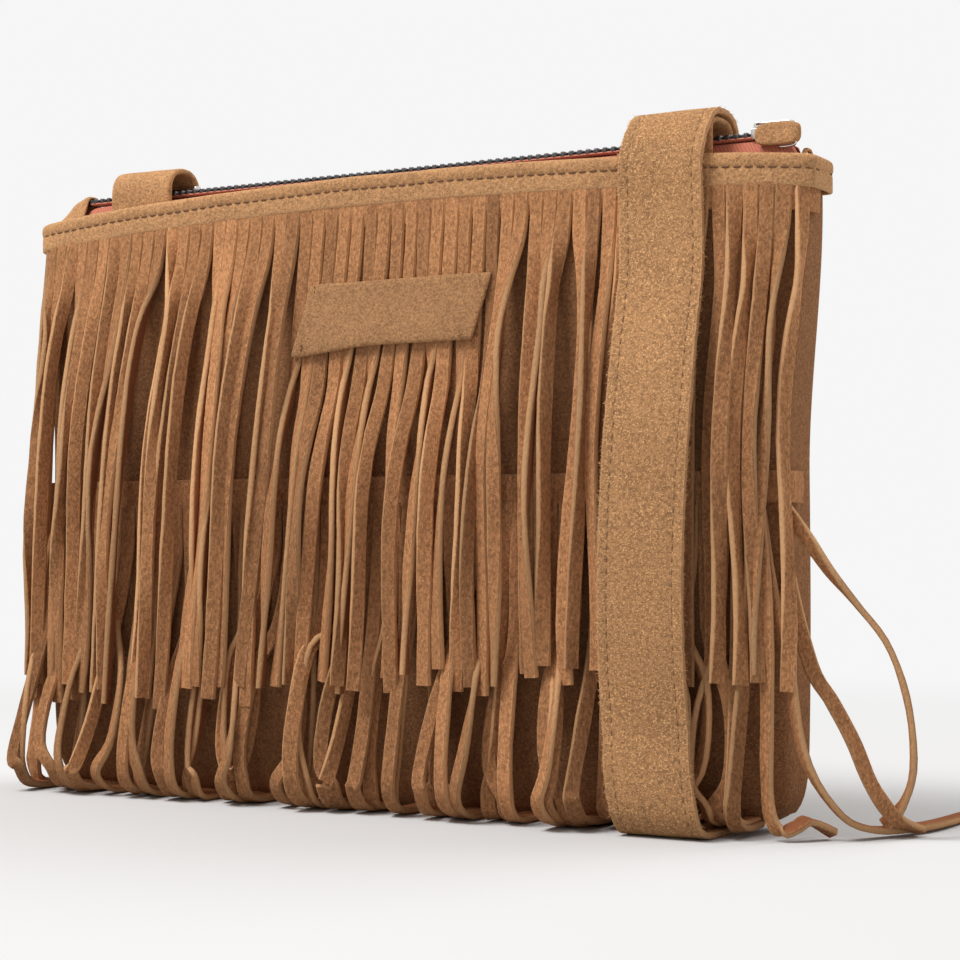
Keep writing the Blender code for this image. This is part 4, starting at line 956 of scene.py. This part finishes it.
def plump_tab(bm):
    """Round the folded tab on the pull into a soft hump."""
    low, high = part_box("pull_tab")
    middle = (low + high) / 2
    half = (high - low) / 2
    for vert in bm.verts:
        u, v, w = ((vert.co[k] - middle[k]) / half[k] for k in range(3))
        end = abs(u) ** 3
        spread = 1.1 if v < 0 else 0.65
        vert.co.y = middle.y + v * half.y * (spread + (1.0 - spread) * end)
        vert.co.z = middle.z + 0.0001 + w * half.z * (1.20 - 0.30 * end)
        vert.co.x = middle.x + u * half.x * (1.0 - 0.10 * abs(w) ** 3)


class BAG_OT_trim(bpy.types.Operator):
    """Dress the label patch, the zip's end tabs, the ring loops and the pull's tab in suede"""
    bl_idname = "bag.trim"
    bl_label = "Patch, tabs and loops"

    def execute(self, context):
        pieces = (
            ("patch", "label_patch", "root", 0.003, 1, 0.00035),
            ("end_tab_left", "zip_end_tab_left", "root", 0.002, 2, 0.0002),
            ("end_tab_right", "zip_end_tab_right", "root", 0.0008, 1, 0.0001),
            ("loop_left", "ring_loop_left", "root", 0.003, 2, 0.0003),
            ("loop_right", "ring_loop_right", "root", 0.003, 2, 0.0003),
            ("tab_of_pull", "pull_tab", "pull", 0.002, 2, 0.0003),
        )
        low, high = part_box("label_patch")
        tacks = bmesh.new()
        for x, z in ((high.x - 0.0105, low.z + 0.0024), (high.x - 0.0032, high.z - 0.0022),
                     (low.x + 0.0095, high.z - 0.0022), (low.x + 0.0046, low.z + 0.0004)):
            proud = 0.0022 if z < 0.165 else 0.0010
            line = [Vector((x + 0.0001 * k, low.y - proud, z + 0.0016 * k)) for k in (-1, 0, 1)]
            add_stitches(tacks, line, [Vector((0, -1, 0))] * 3, 0.0012, 0.00028)
        add_piece("patch_tacks", tacks, "pale_thread", "root")
        for name, node, body, longest, levels, amount in pieces:
            bm = frame_copy(node, longest, levels)
            ripple(bm, 0.012, amount)
            if name == "patch":
                lift_patch(bm)
            if name == "tab_of_pull":
                plump_tab(bm)
            skin = "patch_suede" if name == "patch" else "trim_suede"
            add_piece(name, bm, skin, body, [node])
        return {"FINISHED"}


# Zip

class BAG_OT_zip(bpy.types.Operator):
    """Build the zip: its woven tapes, its teeth, its stops, its slider and its pull"""
    bl_idname = "bag.zip"
    bl_label = "Zip"

    def execute(self, context):
        for half, side in (("front", -1), ("back", 1)):
            bm = frame_copy("zip_tape_" + half, 0.006)
            add_piece("tape_" + half, bm, "tape_twill", "root", ["zip_tape_" + half])
            low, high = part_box("zip_teeth_" + half)
            middle_y = (low.y + high.y) / 2
            bm = zip_teeth(low, high, middle_y, side)
            add_piece("teeth_" + half, bm, "gunmetal_plate", "root", ["zip_teeth_" + half])
            cord = []
            for x in (low.x, high.x):
                middle = Vector((x, middle_y, low.z + 0.0005))
                turns = [math.tau * k / 8 for k in range(8)]
                cord.append([(middle + Vector((0.0, 0.0009 * math.cos(a), 0.0006 * math.sin(a))), PLAIN)
                             for a in turns])
            bm = bmesh.new()
            extrude_strips(bm, [cord])
            add_piece("cord_" + half, bm, "tape_twill", "root")
        for name in ("zip_stop_left", "zip_stop_front", "zip_stop_back"):
            add_piece(name + "_plated", plain_copy(name), "gunmetal_plate", "root", [name],
                      sharp=35.0)
        bm = plain_copy("zip_slider")
        bmesh.ops.bevel(bm, geom=bm.edges[:], offset=0.00012, segments=2, profile=0.5, affect="EDGES",
                        material=-1, clamp_overlap=True)
        add_piece("zip_slider_plated", bm, "nickel_plate", "slider", ["zip_slider"],
                  sharp=35.0)
        for name, body in (("zip_pull", "pull"), ("ring_left", "ring_left"), ("ring_right", "ring_right")):
            add_piece(name + "_wire", frame_copy(name), "nickel_plate", body, [name])
        return {"FINISHED"}


def zip_teeth(low, high, middle_y, side):
    """One row of teeth inside the row's box; the two rows are half a pitch apart."""
    bm = bmesh.new()
    start = low.x + TOOTH_PITCH * (0.75 if side > 0 else 0.25)
    for k in range(int((high.x - start) / TOOTH_PITCH)):
        place = Matrix.Translation((start + TOOTH_PITCH * (k + 0.3), middle_y - side * 0.0005,
                                    high.z - 0.0010))
        bmesh.ops.create_cube(bm, size=1.0, matrix=place @ Matrix.Diagonal((*TOOTH, 1.0)))
    bmesh.ops.bevel(bm, geom=bm.edges[:], offset=0.0003, segments=2, profile=0.5, affect="EDGES",
                    material=-1)
    return bm


def plain_copy(node):
    """A merged copy of a CAD node's mesh, with its flat faces whole."""
    bm = bmesh.new()
    bm.from_mesh(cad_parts[node].data)
    bmesh.ops.remove_doubles(bm, verts=bm.verts, dist=1e-6)
    bmesh.ops.dissolve_limit(bm, angle_limit=math.radians(2), verts=bm.verts, edges=bm.edges)
    return bm


# Strap

def strap_path():
    """The strap's middle line and width direction, in even steps from the right ring to the left one."""
    rows = [(STRAP_RIGHT_X, y, z, 1, 0, 0) for y, z in STRAP_RIGHT]
    rows += [(*row, 1, 0, 0) for row in STRAP_FRONT]
    rows += STRAP_TWIST
    rows += [(x, y, STRAP_ON_EDGE_Z, 0, 0, 1) for x, y in STRAP_FLOOR]
    rows += STRAP_TWIST_BACK
    rows += [(STRAP_LEFT_X, y, z, 1, 0, 0) for y, z in STRAP_LEFT]
    metres = []
    for x, y, z, *wide in rows:
        metres.append((x / 1000, y / 1000, z / 1000, *(Vector(wide).normalized() * 0.02)))
    return even_line(metres, STRAP_STEP)


def strap_frame(path, k):
    """A station's place, its direction, its width's and its thickness's direction."""
    place = Vector(path[k][:3])
    before = Vector(path[max(k - 1, 0)][:3])
    after = Vector(path[min(k + 1, len(path) - 1)][:3])
    along = (after - before).normalized()
    wide = Vector(path[k][3:])
    wide = (wide - along * wide.dot(along)).normalized()
    return place, along, wide, wide.cross(along).normalized()


def strap_ring(path, k):
    """One cut of the strap, with its two seams pressed in and its cut edges rough."""
    place, _, wide, through = strap_frame(path, k)
    ring = []
    for across, deep, edge in STRAP_CUT:
        rough = noise.noise(Vector((k * 0.9, across * 7.0, deep * 3.0)))
        half = STRAP_HALF + edge * rough * 0.00035
        dip = (0.00016 * noise.noise(place * 55.0 + Vector((across, deep, 0)))) * (1.0 - edge)
        point = place + wide * across * half + through * (deep * STRAP_HALF_THICK + dip)
        ring.append((point, (0.5 + 0.1 * noise.noise(place * 30.0), edge, 0.0, 0.0)))
    rise = Vector((0, 0, max(0.0, 0.0001 - min(point.z for point, _ in ring))))
    return [(point + rise, look) for point, look in ring]


def add_hair(bm, root, tip, thick, look):
    """One loose fibre: a thin closed cone."""
    layer = bm.verts.layers.float_color["strip"]
    along = (tip - root).normalized()
    side = along.orthogonal().normalized()
    other = along.cross(side)
    foot = []
    for k in range(3):
        turn = math.tau * k / 3
        foot.append(bm.verts.new(root + (side * math.cos(turn) + other * math.sin(turn)) * thick))
    top = bm.verts.new(tip)
    for vert in (*foot, top):
        vert[layer] = look
    bm.faces.new(foot[::-1])
    for a, b in ((0, 1), (1, 2), (2, 0)):
        bm.faces.new((foot[a], foot[b], top))


def strap_fuzz(path, first, last, draw, count):
    """Loose fibres along the strap's two cut edges."""
    bm = bmesh.new()
    bm.verts.layers.float_color.new("strip")
    for _ in range(count):
        place, along, wide, through = strap_frame(path, draw.randint(first, last))
        side = draw.choice((-1.0, 1.0))
        root = place + wide * side * (STRAP_HALF - 0.0002) + through * draw.uniform(-1, 1) * STRAP_HALF_THICK
        root += along * draw.uniform(-0.0011, 0.0011)
        lean = wide * side + along * draw.uniform(-1.3, 1.3) + through * draw.uniform(-0.9, 0.9)
        tip = root + lean.normalized() * draw.uniform(0.0005, 0.0018)
        tip.z = max(tip.z, 0.0001)
        root.z = max(root.z, 0.0002)
        add_hair(bm, root, tip, 0.00011, (0.8, 1.0, 0.0, 0.0))
    return bm


def strap_seams(path, first, last):
    """Stitches of both seams, on both faces of the strap."""
    sewing = bpy.context.scene.bag_sewing
    bm = bmesh.new()
    for across in (-1.0, 1.0):
        for face in (-1.0, 1.0):
            rows = []
            for k in range(first, last + 1):
                place, _, wide, through = strap_frame(path, k)
                point = place + wide * across * (STRAP_HALF - sewing.edge)
                point += through * face * (STRAP_HALF_THICK * 0.90)
                rows.append((*point, *(through * face)))
            line = even_line(rows, sewing.pitch)
            points = [Vector(row[:3]) for row in line]
            add_stitches(bm, points, [Vector(row[3:]) for row in line], sewing.pitch * 0.6,
                         sewing.thread * 0.75)
    return bm


class BAG_OT_strap(bpy.types.Operator):
    """Build the shoulder strap from ring to ring, with its two seams and its fuzzy edges"""
    bl_idname = "bag.strap"
    bl_label = "Strap"

    def execute(self, context):
        path = strap_path()
        draw = random.Random(5)
        count = len(path)
        right = min(range(count // 4), key=lambda k: abs(path[k][1] + 0.004) + abs(path[k][2] - 0.2268))
        left = min(range(count * 3 // 4, count), key=lambda k: abs(path[k][2] - 0.080))
        for name, first, last, hairs in (("strap_end_right", 0, right, 200),
                                         ("strap_main", right, left, 3600),
                                         ("strap_end_left", left, count - 1, 400)):
            body = "root" if name == "strap_main" else None
            bm = bmesh.new()
            extrude_strips(bm, [[strap_ring(path, k) for k in range(first, last + 1)]])
            strip = add_piece(name, bm, "strap_suede", body, ["shoulder_strap"] if body else ())
            seam = add_piece(name + "_seam", strap_seams(path, first, last), "pale_thread", body)
            fuzz = add_piece(name + "_fuzz", strap_fuzz(path, first, last, draw, hairs), "strap_suede", body)
            for obj in (strip, seam, fuzz):
                if name == "strap_end_right":
                    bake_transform(obj)
                if name == "strap_end_left":
                    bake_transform(obj)
        return {"FINISHED"}


# Stage

class BAG_OT_stage(bpy.types.Operator):
    """Set the floor, the light and the camera"""
    bl_idname = "bag.stage"
    bl_label = "Stage"

    def execute(self, context):
        look = context.scene.bag_stage
        scene = context.scene
        scene.view_settings.view_transform = "Standard"
        bm = bmesh.new()
        bmesh.ops.create_circle(bm, cap_ends=True, segments=96, radius=2.5)
        mesh = bpy.data.meshes.new("floor")
        bm.to_mesh(mesh)
        bm.free()
        mesh.materials.append(floor_material(look.paper))
        floor = new_object("floor", mesh)
        world = bpy.data.worlds.new("studio")
        scene.world = world
        world.use_nodes = True
        sky_material(world.node_tree, look.paper, look.fill)
        add_lamp("key", (-0.55, -0.75, 1.55), 0.7, look.key)
        add_lamp("rim", (0.7, 0.9, 1.2), 1.0, look.key * 0.4)
        camera = new_object("camera", bpy.data.cameras.new("camera"))
        turn = look.azimuth
        camera.location = (look.distance * math.sin(turn), -look.distance * math.cos(turn), look.height)
        ahead = Vector((-math.sin(turn), math.cos(turn), 0.0))
        right = Vector((math.cos(turn), math.sin(turn), 0.0))
        aim = ahead + right * look.aim_right + Vector((0, 0, 1)) * look.aim_up
        camera.rotation_euler = aim.to_track_quat("-Z", "Y").to_euler()
        camera.data.lens = look.lens
        camera.data.clip_start = 0.01
        scene.camera = camera
        return {"FINISHED"}


def floor_material(paper):
    """A pale floor that keeps the bag's shadow and fades into the backdrop."""
    made, tree, shader, place = new_material("paper_floor")
    seen = wire(tree, "ShaderNodeLightPath", {}).outputs["Is Camera Ray"]
    plug(tree, shader, {"Base Color": mix_colour(tree, seen, shaded(paper, 0.45), shaded(paper, 0.80)),
                        "Roughness": 1.0,
                        "Specular IOR Level": 0.0})
    far = wire(tree, "ShaderNodeVectorMath", {0: place}, operation="LENGTH").outputs["Value"]
    glow = wire(tree, "ShaderNodeEmission", {"Color": shaded(paper), "Strength": 1.0})
    mix_shader(tree, step_node(tree, far, 0.25, 0.8), shader.outputs[0], glow.outputs[0], "Material Output")
    return made


def sky_material(tree, paper, strength):
    """Even light all round; the camera and mirrors see the paper's own colour."""
    path = wire(tree, "ShaderNodeLightPath", {}).outputs
    seen = math_node(tree, "MAXIMUM", path["Is Camera Ray"], path["Is Glossy Ray"])
    seen = math_node(tree, "MAXIMUM", seen, path["Is Transmission Ray"])
    sky = tree.nodes["Background"]
    plug(tree, sky, {"Color": (1.0, 0.99, 0.97, 1.0), "Strength": strength})
    shown = wire(tree, "ShaderNodeBackground", {"Color": shaded(paper), "Strength": 1.0})
    mix_shader(tree, seen, sky.outputs[0], shown.outputs[0], "World Output")


def add_lamp(name, place, size, power):
    """A soft square lamp that faces the bag's middle."""
    lamp = bpy.data.lights.new(name, "AREA")
    lamp.size = size
    lamp.energy = power
    obj = new_object(name, lamp)
    obj.location = place
    obj.rotation_euler = (Vector((0, 0, 0.1)) - Vector(place)).to_track_quat("-Z", "Y").to_euler()


class BAG_PT_build(bpy.types.Panel):
    """The bag's operators and settings"""
    bl_idname = "BAG_PT_build"
    bl_label = "Fringed suede bag"
    bl_space_type = "VIEW_3D"
    bl_region_type = "UI"
    bl_category = "Bag"

    def draw(self, context):
        layout = self.layout
        for step in STEPS:
            layout.operator(step.bl_idname)
        for name in SETTINGS:
            box = layout.box()
            group = getattr(context.scene, name)
            for key in group.bl_rna.properties.keys():
                if key not in ("rna_type", "name"):
                    box.prop(group, key)


STEPS = (BAG_OT_panels, BAG_OT_bands, BAG_OT_upper_fringe, BAG_OT_lower_fringe, BAG_OT_trim, BAG_OT_zip,
         BAG_OT_strap, BAG_OT_stage)
SETTINGS = {"bag_suede": BagSuede, "bag_fringe": BagFringe, "bag_sewing": BagSewing,
            "bag_metal": BagMetal, "bag_stage": BagStage}


def register():
    """Add the settings, the operators and the panel to Blender."""
    for name, group in SETTINGS.items():
        bpy.utils.register_class(group)
        setattr(bpy.types.Scene, name, PointerProperty(type=group))
    for step in STEPS:
        bpy.utils.register_class(step)
    bpy.utils.register_class(BAG_PT_build)


def unregister():
    """Take the settings, the operators and the panel away again."""
    bpy.utils.unregister_class(BAG_PT_build)
    for step in reversed(STEPS):
        bpy.utils.unregister_class(step)
    for name, group in reversed(SETTINGS.items()):
        delattr(bpy.types.Scene, name)
        bpy.utils.unregister_class(group)


def main():
    """Build the whole bag and its stage."""
    register()
    bpy.ops.bag.panels()
    bpy.ops.bag.bands()
    bpy.ops.bag.upper_fringe()
    bpy.ops.bag.lower_fringe()
    bpy.ops.bag.trim()
    bpy.ops.bag.zip()
    bpy.ops.bag.strap()
    bpy.ops.bag.stage()


if __name__ == "__main__":
    main()
